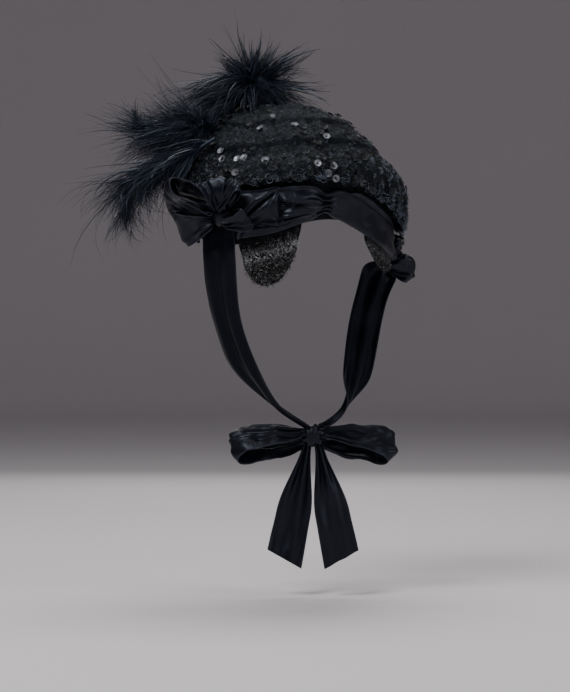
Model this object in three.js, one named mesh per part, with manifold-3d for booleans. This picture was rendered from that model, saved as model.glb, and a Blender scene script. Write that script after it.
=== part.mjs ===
// A black mourning bonnet of the 1880s, worn: a lace-covered crown with a sequinned flounce, a satin ribbon
// round the back, a bow on the left and a rosette on the right, two plush tabs at the nape, ostrich plumes
// on the left front and two satin ties that meet in a bow under the chin.
//
// Millimetres. +Z is up and the wearer faces -Y, so +X is the wearer's left. The origin is the inside top
// of the crown, where it sits on the head. Directions round the crown are azimuths in degrees: 0 at the
// back, 90 at the wearer's left and 180 at the front. Down the crown, a share runs from 0 at the top to
// 1 at the rim, and goes on past 1 straight down from the rim. Lift is the height over the covered crown.
import * as THREE from 'three';
import Module from 'manifold-3d';

const wasm = await Module();
wasm.setup();

// Crown
const CROWN_WIDTH = 206;
const CROWN_BACK_REACH = 106;
const CROWN_FRONT_REACH = 88;
const CROWN_DEPTH = 125;
const CROWN_WALL = 2.4;
const PLAN_SQUARENESS = 2.3;
const TIER_HEIGHT = 3;
const TIER_LENGTH = 0.17;

// Clearance between two pieces that lie along each other, and gap at a seam between two sewn pieces
const CLEARANCE = 0.5;
const SEAM_GAP = 0.3;

// Flounce of sequinned lace
const FLOUNCE_LOFT = 11;
const FLOUNCE_WALL = 1.6;
const FLOUNCE_GATHERS = 22;

// Nape tabs: the right one is drawn up behind its tie
const LEFT_TAB_DROP = 42;
const RIGHT_TAB_DROP = 26;
const TAB_WIDTH = 52;
const TAB_AZIMUTH = 36;
const TAB_WALL = 2.4;
const TAB_PLUSH = 3.5;

// Satin ribbon
const SATIN_WALL = 1.3;
const BAND_PUFF = 7;
const BAND_PLEATS = 9;
const TIE_WIDTH = 34;
const TIE_PLEAT = 2;
const LEFT_TIE_AZIMUTH = 64.5;
const RIGHT_TIE_AZIMUTH = -67;
const BOW_AZIMUTH = 58;
const LOOP_WIDTH = 30;
const BOW_LOOP_LENGTH = 46;
const KNOT_RADIUS = 9;
const BOW_KNOT_HEIGHT = 14;
const ROSETTE_KNOT_HEIGHT = 13;
const ROSETTE_KNOT_RADIUS = 7;

// Bow under the chin
const CHIN_KNOT_SHIFT = 28;
const CHIN_KNOT_BACK = 6;
const CHIN_KNOT_DROP = 287;
const CHIN_KNOT_RADIUS = 10;
const CHIN_KNOT_HEIGHT = 15;
const CHIN_BOW_ANGLE = 30;
const CHIN_LOOP_LENGTH = 74;
const TAIL_LENGTH = 105;
const TAIL_SWAY = 5;

// Beaded edging round the front rim
const EDGING_WIDTH = 7;
const EDGING_WALL = 2.6;

// Plumes
const TOP_PLUME_REACH = 62;
const UPPER_PLUME_LENGTH = 80;
const LOWER_PLUME_LENGTH = 126;
const QUILL_RADIUS = 5;

const DEGREE = Math.PI / 180;
const UP = new THREE.Vector3(0, 0, 1);
const vector = (x, y, z) => new THREE.Vector3(x, y, z);
const CHIN_KNOT = vector(-CHIN_KNOT_SHIFT, CHIN_KNOT_BACK, -CHIN_KNOT_DROP);
const smooth = (x) => {
  const t = Math.min(1, Math.max(0, x));
  return t * t * (3 - 2 * t);
};

// A column of a table at an azimuth, joined by a smooth curve that closes round the crown.
function roundTable(rows, column, azimuth) {
  const a = ((((azimuth - rows[0].azimuth) % 360) + 360) % 360) + rows[0].azimuth;
  const n = rows.length;
  const at = (i) => rows[((i % n) + n) % n][column];
  const angle = (i) => rows[((i % n) + n) % n].azimuth + 360 * Math.floor(i / n);
  let i = 0;
  while (angle(i + 1) <= a) i += 1;
  const span = angle(i + 1) - angle(i);
  const t = (a - angle(i)) / span;
  const slopeHere = ((at(i + 1) - at(i - 1)) / (angle(i + 1) - angle(i - 1))) * span;
  const slopeNext = ((at(i + 2) - at(i)) / (angle(i + 2) - angle(i))) * span;
  const t2 = t * t;
  const t3 = t2 * t;
  return (
    (2 * t3 - 3 * t2 + 1) * at(i) +
    (t3 - 2 * t2 + t) * slopeHere +
    (3 * t2 - 2 * t3) * at(i + 1) +
    (t3 - t2) * slopeNext
  );
}

// The rim: its drop as a share of the crown's depth, how far the wall tucks in above it as a share of the
// reach, and how much of the dome's curve is left off so that the brim flares.
const RIM = [
  { azimuth: -160, drop: 0.3, tuck: 0, flare: 0.3 },
  { azimuth: -135, drop: 0.5, tuck: 0, flare: 0.2 },
  { azimuth: -115, drop: 0.65, tuck: 0.03, flare: 0.08 },
  { azimuth: -90, drop: 0.84, tuck: 0.08, flare: 0 },
  { azimuth: -75, drop: 0.96, tuck: 0.11, flare: 0 },
  { azimuth: -60, drop: 1.0, tuck: 0.13, flare: 0 },
  { azimuth: -40, drop: 0.95, tuck: 0.16, flare: 0 },
  { azimuth: -18, drop: 0.85, tuck: 0.19, flare: 0 },
  { azimuth: 0, drop: 0.82, tuck: 0.2, flare: 0 },
  { azimuth: 18, drop: 0.85, tuck: 0.19, flare: 0 },
  { azimuth: 40, drop: 0.95, tuck: 0.16, flare: 0 },
  { azimuth: 60, drop: 1.0, tuck: 0.13, flare: 0 },
  { azimuth: 75, drop: 0.96, tuck: 0.11, flare: 0 },
  { azimuth: 90, drop: 0.84, tuck: 0.08, flare: 0 },
  { azimuth: 115, drop: 0.65, tuck: 0.03, flare: 0.08 },
  { azimuth: 135, drop: 0.5, tuck: 0, flare: 0.2 },
  { azimuth: 160, drop: 0.3, tuck: 0, flare: 0.3 },
  { azimuth: 180, drop: 0.22, tuck: 0, flare: 0.32 },
];

// How far the crown reaches from its axis in plan.
function planReach(azimuth) {
  const x = Math.abs(Math.sin(azimuth * DEGREE)) / (CROWN_WIDTH / 2);
  const along = Math.cos(azimuth * DEGREE);
  const y = Math.abs(along) / (along > 0 ? CROWN_BACK_REACH : CROWN_FRONT_REACH);
  return (x ** PLAN_SQUARENESS + y ** PLAN_SQUARENESS) ** (-1 / PLAN_SQUARENESS);
}

// A point of the plain crown, without its tiers.
function plainCrown(azimuth, share) {
  if (share > 1) {
    const rim = plainCrown(azimuth, 1);
    const down = rim.clone().sub(plainCrown(azimuth, 0.99)).normalize();
    return rim.addScaledVector(down, (share - 1) * CROWN_DEPTH);
  }
  const end = ((1 - roundTable(RIM, 'flare', azimuth)) * Math.PI) / 2;
  const turn = share * end;
  const tuck = 1 - roundTable(RIM, 'tuck', azimuth) * smooth((share - 0.7) / 0.3);
  const radius = planReach(azimuth) * (Math.sin(turn) / Math.sin(end)) * tuck;
  const fall = roundTable(RIM, 'drop', azimuth) * CROWN_DEPTH;
  const z = CROWN_WALL - (fall * (1 - Math.cos(turn))) / (1 - Math.cos(end));
  return vector(radius * Math.sin(azimuth * DEGREE), radius * Math.cos(azimuth * DEGREE), z);
}

// The outward normal of the plain crown, from small steps along and round it.
function crownNormal(azimuth, share) {
  const s = Math.max(share, 0.02);
  const round = plainCrown(azimuth + 0.5, s).sub(plainCrown(azimuth - 0.5, s));
  const down = plainCrown(azimuth, s + 0.005).sub(plainCrown(azimuth, s - 0.005));
  return round.cross(down).normalize();
}

function onCrown(azimuth, share, lift) {
  return plainCrown(azimuth, share).addScaledVector(crownNormal(azimuth, share), lift);
}

// A three.js geometry from triangles of points, with equal points joined and turned to face out.
function geometryOf(triangles) {
  const places = [];
  const seen = new Map();
  const indexOf = (p) => {
    const key = `${p.x.toFixed(3)},${p.y.toFixed(3)},${p.z.toFixed(3)}`;
    if (!seen.has(key)) {
      seen.set(key, places.length / 3);
      places.push(p.x, p.y, p.z);
    }
    return seen.get(key);
  };
  let index = [];
  let volume = 0;
  for (const [a, b, c] of triangles) {
    const corners = [indexOf(a), indexOf(b), indexOf(c)];
    if (new Set(corners).size === 3) index.push(corners);
    volume += a.dot(b.clone().cross(c));
  }
  if (volume < 0) index = index.map(([a, b, c]) => [a, c, b]);
  const geometry = new THREE.BufferGeometry();
  geometry.setAttribute('position', new THREE.Float32BufferAttribute(places, 3));
  geometry.setIndex(index.flat());
  return geometry;
}

function quad(triangles, a, b, c, d) {
  triangles.push([a, b, c], [a, c, d]);
}

// A wall between two grids of points, outer and inner, closed along its edges. A ring joins its last
// column to its first, and a dome starts at a single top point.
function wallBetween(outer, inner, { ring = false, dome = false } = {}) {
  const triangles = [];
  const columns = outer.length;
  const rows = outer[0].length;
  const last = ring ? columns : columns - 1;
  for (let i = 0; i < last; i += 1) {
    const k = (i + 1) % columns;
    for (let j = 0; j < rows - 1; j += 1) {
      quad(triangles, outer[i][j], outer[i][j + 1], outer[k][j + 1], outer[k][j]);
      quad(triangles, inner[i][j], inner[k][j], inner[k][j + 1], inner[i][j + 1]);
    }
    const end = rows - 1;
    quad(triangles, outer[i][end], inner[i][end], inner[k][end], outer[k][end]);
    if (!dome) quad(triangles, outer[i][0], outer[k][0], inner[k][0], inner[i][0]);
  }
  if (!ring) {
    const end = columns - 1;
    for (let j = 0; j < rows - 1; j += 1) {
      quad(triangles, outer[0][j], inner[0][j], inner[0][j + 1], outer[0][j + 1]);
      quad(triangles, outer[end][j], outer[end][j + 1], inner[end][j + 1], inner[end][j]);
    }
  }
  return geometryOf(triangles);
}

// A patch of cloth laid on the crown: place gives azimuth, share and lift for the shares u and v across it.
function clothOnCrown(across, down, wall, place, options) {
  const grid = (extra) =>
    Array.from({ length: options?.ring ? across : across + 1 }, (_, i) =>
      Array.from({ length: down + 1 }, (_, j) => {
        const { azimuth, share, lift, thick = wall } = place(i / across, j / down);
        return onCrown(azimuth, share, lift + extra * thick);
      }),
    );
  return wallBetween(grid(1), grid(0), options);
}

// A ribbon through stations of centre, widthways direction, width and fold depth.
function ribbonThrough(stations, wall, strands = 2) {
  const top = [];
  const under = [];
  stations.forEach(({ centre, across, width, fold = 0 }, i) => {
    const before = stations[Math.max(i - 1, 0)].centre;
    const after = stations[Math.min(i + 1, stations.length - 1)].centre;
    const along = after.clone().sub(before).normalize();
    const side = across.clone().addScaledVector(along, -across.dot(along)).normalize();
    const out = along.clone().cross(side).normalize();
    const row = (height) =>
      Array.from({ length: strands + 1 }, (_, k) =>
        centre
          .clone()
          .addScaledVector(side, width * (k / strands - 0.5))
          .addScaledVector(out, height + fold * (k % 2 ? 0.5 : -0.5)),
      );
    top.push(row(wall / 2));
    under.push(row(-wall / 2));
  });
  return wallBetween(top, under);
}

// A tube with flat-sided sections along points, with a radius at each point.
function tubeThrough(points, radii, sides, flatten = 1) {
  const rings = points.map((p, i) => {
    const before = points[Math.max(i - 1, 0)];
    const after = points[Math.min(i + 1, points.length - 1)];
    const along = after.clone().sub(before).normalize();
    const side = Math.abs(along.z) > 0.9 ? vector(1, 0, 0) : UP;
    const a = along.clone().cross(side).normalize();
    const b = along.clone().cross(a);
    const radius = radii[i];
    return Array.from({ length: sides }, (_, k) => {
      const turn = (2 * Math.PI * k) / sides;
      return p
        .clone()
        .addScaledVector(a, radius * Math.cos(turn))
        .addScaledVector(b, radius * flatten * Math.sin(turn));
    });
  });
  const triangles = [];
  for (let i = 0; i < rings.length - 1; i += 1) {
    for (let k = 0; k < sides; k += 1) {
      const n = (k + 1) % sides;
      quad(triangles, rings[i][k], rings[i][n], rings[i + 1][n], rings[i + 1][k]);
    }
  }
  const end = rings.length - 1;
  for (let k = 1; k < sides - 1; k += 1) {
    triangles.push([rings[0][0], rings[0][k + 1], rings[0][k]]);
    triangles.push([rings[end][0], rings[end][k], rings[end][k + 1]]);
  }
  return geometryOf(triangles);
}

// Geometries joined into one body by manifold-3d.
function fused(geometries) {
  const solids = geometries.map(
    (g) =>
      new wasm.Manifold(
        new wasm.Mesh({
          numProp: 3,
          vertProperties: new Float32Array(g.attributes.position.array),
          triVerts: new Uint32Array(g.index.array),
        }),
      ),
  );
  const mesh = solids.reduce((all, solid) => all.add(solid)).getMesh();
  const geometry = new THREE.BufferGeometry();
  geometry.setAttribute('position', new THREE.Float32BufferAttribute(mesh.vertProperties, 3));
  geometry.setIndex(Array.from(mesh.triVerts));
  return geometry;
}

// Materials
const finish = (color, roughness, metalness = 0) =>
  new THREE.MeshStandardMaterial({ color, roughness, metalness, side: THREE.DoubleSide });
const LACE = finish(0x14161a, 0.75);
const SATIN = finish(0x0c0d14, 0.38);
const PLUSH = finish(0x0a0a0c, 0.8);
const BEADING = finish(0x1b1c20, 0.25, 0.1);
const FEATHER = finish(0x0d0f12, 0.6);

const bonnet = new THREE.Group();
function addPiece(name, geometry, material) {
  const mesh = new THREE.Mesh(geometry, material);
  mesh.name = name;
  bonnet.add(mesh);
}

// The height of the lace tiers over the crown: each swells downwards and ends in a step.
const FIRST_TIER = 0.05;
const LAST_TIER = 0.55;
const STEP_LENGTH = 0.005;
function tierLift(share) {
  const inTier = ((share - FIRST_TIER + STEP_LENGTH) % TIER_LENGTH) / TIER_LENGTH;
  return share < FIRST_TIER || share > LAST_TIER ? 0 : TIER_HEIGHT * smooth(inTier);
}

// The crown: a hollow wall covered in tiers of lace.
function crown() {
  const tiers = [0.05, 0.1, 0.16, 0.2, 0.215, 0.27, 0.33, 0.37, 0.385, 0.44, 0.5, 0.54, 0.555];
  const shares = [0, ...tiers, 0.65, 0.75, 0.84, 0.92, 1];
  const columns = 40;
  const grid = (lift) =>
    Array.from({ length: columns }, (_, i) =>
      shares.map((share) => onCrown((360 * i) / columns, share, lift(share))),
    );
  const inner = grid(() => -CROWN_WALL);
  inner.forEach((column) => column[0].set(0, 0, 0));
  const outer = grid(tierLift);
  outer.forEach((column) => column[0].set(0, 0, CROWN_WALL));
  return wallBetween(outer, inner, { ring: true, dome: true });
}
addPiece('crown', crown(), LACE);

// The flounce: where it starts and ends down the crown, and how far it lofts as a share of the full loft.
const FLOUNCE = [
  { azimuth: -150, top: 0.6, bottom: 0.85, loft: 0.7 },
  { azimuth: -110, top: 0.6, bottom: 0.88, loft: 0.9 },
  { azimuth: -60, top: 0.58, bottom: 0.92, loft: 1.0 },
  { azimuth: -30, top: 0.6, bottom: 0.85, loft: 1.0 },
  { azimuth: 0, top: 0.62, bottom: 0.8, loft: 0.9 },
  { azimuth: 30, top: 0.62, bottom: 0.765, loft: 0.7 },
  { azimuth: 60, top: 0.61, bottom: 0.76, loft: 0.35 },
  { azimuth: 90, top: 0.6, bottom: 0.78, loft: 0.35 },
  { azimuth: 130, top: 0.6, bottom: 0.84, loft: 0.5 },
];
function flounce() {
  return clothOnCrown(
    66,
    4,
    FLOUNCE_WALL,
    (u, v) => {
      const azimuth = 360 * u;
      const top = roundTable(FLOUNCE, 'top', azimuth);
      const bottom = roundTable(FLOUNCE, 'bottom', azimuth);
      const loft = FLOUNCE_LOFT * roundTable(FLOUNCE, 'loft', azimuth);
      const gather = 0.82 + 0.18 * Math.cos(FLOUNCE_GATHERS * azimuth * DEGREE);
      const rise = 1 - (1 - v) ** 2;
      return {
        azimuth,
        share: top + (bottom - top) * v,
        lift: CLEARANCE + loft * rise * gather,
      };
    },
    { ring: true },
  );
}
addPiece('lace_flounce', flounce(), LACE);

// The nape tabs: velvet above, thickening into plush towards a round end.
const TAB_TOP_SHARE = 0.91;
const TAB_SEAT = 1.6 * CLEARANCE;
const PLUSH_SHARE = 1.09;
function napeTab(side, drop) {
  const halfTurn = (TAB_WIDTH / 2 / (planReach(TAB_AZIMUTH) * 0.84)) / DEGREE;
  const bottomShare = 1 + drop / CROWN_DEPTH;
  return clothOnCrown(10, 8, TAB_WALL, (u, v) => {
    const x = 2 * u - 1;
    const endCurve = 1 - 0.42 * Math.abs(x) ** 2.4;
    const narrow = 1 - 0.16 * smooth((v - 0.35) / 0.65);
    const share = TAB_TOP_SHARE + (bottomShare - TAB_TOP_SHARE) * v * endCurve;
    return {
      azimuth: side * (TAB_AZIMUTH + x * halfTurn * narrow),
      share,
      lift: TAB_SEAT,
      thick: TAB_WALL + TAB_PLUSH * smooth((share - PLUSH_SHARE) / 0.06) * (1 - x ** 4),
    };
  });
}
addPiece('nape_tab_left', napeTab(1, LEFT_TAB_DROP), PLUSH);
addPiece('nape_tab_right', napeTab(-1, RIGHT_TAB_DROP), PLUSH);

// The satin band: its upper and lower edges down the crown. It seats on the tabs.
const BAND_SEAT = TAB_SEAT + TAB_WALL + CLEARANCE;
const BAND_START_AZIMUTH = 50;
const BAND_END_AZIMUTH = -58;
const BAND = [
  { azimuth: -90, top: 1.02, bottom: 1.1 },
  { azimuth: -58, top: 0.99, bottom: 1.08 },
  { azimuth: -48, top: 0.93, bottom: 1.08 },
  { azimuth: -26, top: 0.895, bottom: 1.07 },
  { azimuth: -13, top: 0.872, bottom: 1.04 },
  { azimuth: 0, top: 0.84, bottom: 1.0 },
  { azimuth: 30, top: 0.795, bottom: 1.0 },
  { azimuth: 56, top: 0.79, bottom: 0.98 },
  { azimuth: 120, top: 0.85, bottom: 1.0 },
];
function satinBand() {
  return clothOnCrown(44, 6, SATIN_WALL, (u, v) => {
    const azimuth = BAND_START_AZIMUTH + (BAND_END_AZIMUTH - BAND_START_AZIMUTH) * u;
    const top = roundTable(BAND, 'top', azimuth);
    const bottom = roundTable(BAND, 'bottom', azimuth);
    const gathered = smooth((azimuth + 18) / 24);
    const pleat = Math.sin(2 * Math.PI * (BAND_PLEATS * u + 0.9 * v));
    const belly = Math.sin(Math.PI * v) * (0.3 + 0.7 * smooth((BAND_START_AZIMUTH - azimuth) / 16));
    const puff = 0.25 + gathered * (0.45 + 0.3 * pleat);
    return {
      azimuth,
      share: top + (bottom - top) * v,
      lift: BAND_SEAT + BAND_PUFF * belly * puff,
    };
  });
}
addPiece('satin_band', satinBand(), SATIN);

// A knot, drawn as a squat wrapped ball on a frame of directions.
function knotAt(centre, radius, out, height) {
  const ball = new THREE.SphereGeometry(1, 10, 6);
  ball.scale(radius, radius, height / 2);
  ball.applyQuaternion(new THREE.Quaternion().setFromUnitVectors(UP, out));
  ball.translate(centre.x, centre.y, centre.z);
  ball.deleteAttribute('normal');
  ball.deleteAttribute('uv');
  const place = ball.attributes.position;
  const corner = (i) => vector(place.getX(i), place.getY(i), place.getZ(i));
  const index = ball.index.array;
  const triangles = [];
  for (let i = 0; i < index.length; i += 3) {
    triangles.push([corner(index[i]), corner(index[i + 1]), corner(index[i + 2])]);
  }
  return geometryOf(triangles);
}

// A ribbon loop that leaves a knot along one direction, opens and comes back above its start. The knot
// reaches its radius at its middle and falls away to its half height.
const LOOP_NECK = 0.22;
const LOOP_PLEAT = 1.2;
function bowLoop({ knot, radius, halfHeight, along, out, length, width, opening, base, tilt = 0 }) {
  const steps = 12;
  const across = out.clone().cross(along).normalize().applyAxisAngle(along, tilt * DEGREE);
  const lean = out.clone().applyAxisAngle(along, tilt * DEGREE);
  const stations = [];
  for (let i = 0; i <= steps; i += 1) {
    const t = i / steps;
    const swell = Math.sin(Math.PI * t) ** 0.5;
    const rise = base - opening * 0.22 + opening * (0.44 * t + 0.56 * smooth(t) * swell);
    const onKnot = Math.min(1, Math.abs(rise) / halfHeight);
    const start = radius * Math.sqrt(1 - onKnot ** 2) + SEAM_GAP + SATIN_WALL / 2;
    const reach = start + (length - start) * Math.sin(Math.PI * t) ** 0.8;
    stations.push({
      centre: knot.clone().addScaledVector(along, reach).addScaledVector(lean, rise),
      across,
      width: width * (LOOP_NECK + (1 - LOOP_NECK) * swell),
      fold: LOOP_PLEAT * (1 - swell),
    });
  }
  return ribbonThrough(stations, SATIN_WALL);
}

// Directions on the crown at a place: out from it, forwards round it and up it.
function crownFrame(azimuth, share) {
  const out = crownNormal(azimuth, share);
  const up = UP.clone().addScaledVector(out, -UP.dot(out)).normalize();
  const forwards = out.clone().cross(up).normalize();
  return { out, up, forwards };
}

// The ties start flat on the crown's rim, turn their face as they hang, and swing in to the knot under
// the chin. The handles are shares of the tie's drop, out from the wearer's middle, back and up, from the
// start and from the end. The turns say which way a tie's width lies, halfway down and at its end.
const TIE_SEAT = CLEARANCE + SATIN_WALL / 2;
const TIES = {
  left: {
    side: 1,
    azimuth: LEFT_TIE_AZIMUTH,
    topShare: 0.82,
    leave: { out: -0.05, back: -0.08, up: -0.53 },
    arrive: { out: 0.37, back: 0, up: 0.18 },
    halfway: vector(0.62, -0.78, 0),
    end: vector(0.5, 0.87, 0),
  },
  right: {
    side: -1,
    azimuth: RIGHT_TIE_AZIMUTH,
    topShare: 0.95,
    leave: { out: -0.24, back: -0.085, up: -0.5 },
    arrive: { out: 0.33, back: 0.07, up: 0.13 },
    halfway: vector(-0.87, 0.5, 0),
    end: vector(-0.5, -0.87, 0),
  },
};
function tie({ side, azimuth, topShare, leave, arrive, halfway, end }) {
  const { forwards } = crownFrame(azimuth, 1);
  const flat = forwards.clone().multiplyScalar(side);
  const onRim = [topShare, (topShare + 1) / 2, 1, 1.04].map((share) => onCrown(azimuth, share, TIE_SEAT));
  const start = onRim[onRim.length - 1];
  const sideways = vector(side, 0, 0).applyAxisAngle(UP, -CHIN_BOW_ANGLE * DEGREE);
  const meet = CHIN_KNOT_RADIUS + SEAM_GAP + SATIN_WALL / 2;
  const finishPoint = CHIN_KNOT.clone()
    .addScaledVector(sideways, meet * Math.cos(52 * DEGREE))
    .addScaledVector(UP, meet * Math.sin(52 * DEGREE));
  const drop = start.z - finishPoint.z;
  const handle = (from, { out, back, up }) =>
    from.clone().add(vector(out * side * drop, back * drop, up * drop));
  const curve = new THREE.CubicBezierCurve3(
    start,
    handle(start, leave),
    handle(finishPoint, arrive),
    finishPoint,
  );
  const steps = 16;
  const hanging = Array.from({ length: steps }, (_, i) => {
    const t = (i + 1) / steps;
    const across = flat
      .clone()
      .lerp(halfway, smooth(t / 0.3))
      .lerp(end, smooth((t - 0.45) / 0.4));
    return {
      centre: curve.getPoint(t),
      across: across.normalize(),
      width: TIE_WIDTH * (1 - 0.18 * smooth(t / 0.2) - 0.4 * smooth((t - 0.55) / 0.45)),
      fold: TIE_PLEAT * smooth(t / 0.2),
    };
  });
  const flatPart = onRim.map((centre) => ({ centre, across: flat, width: TIE_WIDTH }));
  return ribbonThrough([...flatPart, ...hanging], SATIN_WALL);
}
addPiece('tie_left', tie(TIES.left), SATIN);
addPiece('tie_right', tie(TIES.right), SATIN);

// The bow on the left: loops round a knot, by their turn from forwards towards up, in degrees, with length
// and width as shares of the full loop, opening as a share of the loop's width, and base as a share of the
// knot's height.
const BOW_LOOPS = [
  { name: 'front_low', turn: -12, length: 0.86, width: 0.72, opening: 0.6, base: 0.46 },
  { name: 'front', turn: 32, length: 1.14, width: 0.95, opening: 0.5, base: 0.46 },
  { name: 'top', turn: 78, length: 0.66, width: 0.62, opening: 0.5, base: 0.64 },
  { name: 'back', turn: 129, length: 0.7, width: 0.62, opening: 0.4, base: 0.72 },
  { name: 'low', turn: 176, length: 0.6, width: 0.5, opening: 0.5, base: 0.74 },
];
const BOW_SHARE = 0.87;
const KNOT_SEAT = CLEARANCE + SATIN_WALL + SEAM_GAP;
function leftBow() {
  const frame = crownFrame(BOW_AZIMUTH, BOW_SHARE);
  const height = BOW_KNOT_HEIGHT;
  const knot = onCrown(BOW_AZIMUTH, BOW_SHARE, KNOT_SEAT + height / 2);
  addPiece('bow_knot', knotAt(knot, KNOT_RADIUS, frame.out, height), SATIN);
  for (const row of BOW_LOOPS) {
    const turn = row.turn * DEGREE;
    const along = frame.forwards
      .clone()
      .multiplyScalar(Math.cos(turn))
      .addScaledVector(frame.up, Math.sin(turn));
    const loop = bowLoop({
      knot,
      radius: KNOT_RADIUS,
      halfHeight: height / 2,
      along,
      out: frame.out,
      length: BOW_LOOP_LENGTH * row.length,
      width: LOOP_WIDTH * row.width,
      opening: LOOP_WIDTH * row.width * row.opening,
      base: (row.base - 0.5) * height,
    });
    addPiece(`bow_loop_${row.name}`, loop, SATIN);
  }
}
leftBow();

// The rosette on the right, over the top of the tie: two flat loops round a knot, and one below it that
// stands straight out from the tie.
const ROSETTE_LOOPS = [
  { name: 'front', turn: 8, length: 0.74, width: 0.62, opening: 0.5, base: 0.54 },
  { name: 'front_low', turn: -33, length: 0.56, width: 0.5, opening: 0.5, base: 0.54 },
];
const ROSETTE_SHARE = 0.985;
const STANDING_LOOP_REACH = 23;
const STANDING_LOOP_WIDTH = 26;
function rightRosette() {
  const frame = crownFrame(RIGHT_TIE_AZIMUTH, 1);
  const height = ROSETTE_KNOT_HEIGHT;
  const knot = onCrown(RIGHT_TIE_AZIMUTH, ROSETTE_SHARE, KNOT_SEAT + height / 2);
  addPiece('rosette_knot', knotAt(knot, ROSETTE_KNOT_RADIUS, frame.out, height), SATIN);
  for (const row of ROSETTE_LOOPS) {
    const turn = row.turn * DEGREE;
    const along = frame.forwards
      .clone()
      .multiplyScalar(-Math.cos(turn))
      .addScaledVector(frame.up, Math.sin(turn));
    const loop = bowLoop({
      knot,
      radius: ROSETTE_KNOT_RADIUS,
      halfHeight: height / 2,
      along,
      out: frame.out,
      length: BOW_LOOP_LENGTH * row.length,
      width: LOOP_WIDTH * row.width,
      opening: LOOP_WIDTH * row.width * row.opening,
      base: (row.base - 0.5) * height,
    });
    addPiece(`rosette_loop_${row.name}`, loop, SATIN);
  }
  const foot = onCrown(RIGHT_TIE_AZIMUTH, ROSETTE_SHARE, KNOT_SEAT).addScaledVector(
    frame.up,
    -ROSETTE_KNOT_RADIUS - CLEARANCE - STANDING_LOOP_WIDTH / 2,
  );
  const standing = bowLoop({
    knot: foot,
    radius: 0,
    halfHeight: STANDING_LOOP_WIDTH,
    along: frame.out,
    out: frame.forwards,
    length: STANDING_LOOP_REACH,
    width: STANDING_LOOP_WIDTH,
    opening: STANDING_LOOP_WIDTH * 0.6,
    base: -STANDING_LOOP_WIDTH * 0.17,
  });
  addPiece('rosette_loop_standing', standing, SATIN);
}
rightRosette();

// The bow under the chin: a knot, two loops out to the sides and two tails with slanting ends.
function chinBow() {
  const sideways = vector(1, 0, 0).applyAxisAngle(UP, -CHIN_BOW_ANGLE * DEGREE);
  const forwards = UP.clone().cross(sideways).negate();
  const height = CHIN_KNOT_HEIGHT;
  addPiece('chin_knot', knotAt(CHIN_KNOT, CHIN_KNOT_RADIUS, forwards, height), SATIN);
  for (const [name, side] of [['left', 1], ['right', -1]]) {
    const along = sideways.clone().multiplyScalar(side).add(vector(0, 0, -0.05)).normalize();
    const loop = bowLoop({
      knot: CHIN_KNOT,
      radius: CHIN_KNOT_RADIUS,
      halfHeight: height / 2,
      along,
      out: forwards,
      length: CHIN_LOOP_LENGTH,
      width: TIE_WIDTH,
      opening: TIE_WIDTH * 0.5,
      base: 0,
      tilt: 24 * side,
    });
    addPiece(`chin_loop_${name}`, loop, SATIN);
    const top = CHIN_KNOT.clone()
      .addScaledVector(sideways, side * CHIN_KNOT_RADIUS * 0.42)
      .add(vector(0, 0, -CHIN_KNOT_RADIUS * 0.96 - SEAM_GAP));
    const steps = 8;
    const stations = Array.from({ length: steps + 1 }, (_, i) => {
      const t = i / steps;
      return {
        centre: top
          .clone()
          .addScaledVector(sideways, side * TIE_WIDTH * 0.62 * t)
          .addScaledVector(forwards, side * TAIL_SWAY * Math.sin(2.6 * t))
          .add(vector(0, 0, -TAIL_LENGTH * t)),
        across: sideways,
        width: TIE_WIDTH * (0.2 + 0.66 * smooth(t * 1.6)),
        fold: TIE_PLEAT * (1 - smooth(t * 2)),
      };
    });
    addPiece(`tail_${name}`, ribbonThrough(stations, SATIN_WALL), SATIN);
  }
}
chinBow();

// The beaded edging hangs from the front rim, from one tie round to the other.
const EDGING_START_AZIMUTH = 80;
function frontEdging() {
  const gap = CLEARANCE / CROWN_DEPTH;
  return clothOnCrown(32, 1, EDGING_WALL, (u, v) => ({
    azimuth: EDGING_START_AZIMUTH + (360 - 2 * EDGING_START_AZIMUTH) * u,
    share: 1 + gap + (EDGING_WIDTH / CROWN_DEPTH) * v,
    lift: -EDGING_WALL + CLEARANCE,
  }));
}
addPiece('front_edging', frontEdging(), BEADING);

// A plume: a quill along its spine, and leaf-shaped locks that leave it and bend over, fused together.
const QUILL_STEPS = 6;
const LOCK_SWELL = [0.7, 1.35, 1.05, 0.2];
function plume(spine, locks) {
  const quillRadii = Array.from(
    { length: QUILL_STEPS + 1 },
    (_, i) => QUILL_RADIUS * (1 - (0.5 * i) / QUILL_STEPS),
  );
  const quill = tubeThrough(spine.getPoints(QUILL_STEPS), quillRadii, 6);
  const end = LOCK_SWELL.length - 1;
  return fused([
    quill,
    ...locks.map(({ from, way, length, bend, radius }) => {
      const points = LOCK_SWELL.map((_, i) =>
        from
          .clone()
          .addScaledVector(way, (length * i) / end)
          .addScaledVector(bend, length * (i / end) ** 2),
      );
      const radii = LOCK_SWELL.map((swell) => radius * swell);
      return tubeThrough(points, radii, 4, 0.7);
    }),
  ]);
}

// The view from behind and left that the plumes fan across: sideways to the wearer's left front, and back.
const FAN_SIDE = vector(Math.cos(30 * DEGREE), -Math.sin(30 * DEGREE), 0);
const FAN_BACK = vector(Math.sin(30 * DEGREE), Math.cos(30 * DEGREE), 0);

// Where a quill's round end just clears the covered crown, for the way that the quill leaves.
function quillSeat({ azimuth, share }, way) {
  const slant = crownNormal(azimuth, share).dot(way.clone().normalize());
  const lift = tierLift(share) + SEAM_GAP + QUILL_RADIUS * Math.sqrt(1 - slant ** 2);
  return onCrown(azimuth, share, lift);
}

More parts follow.
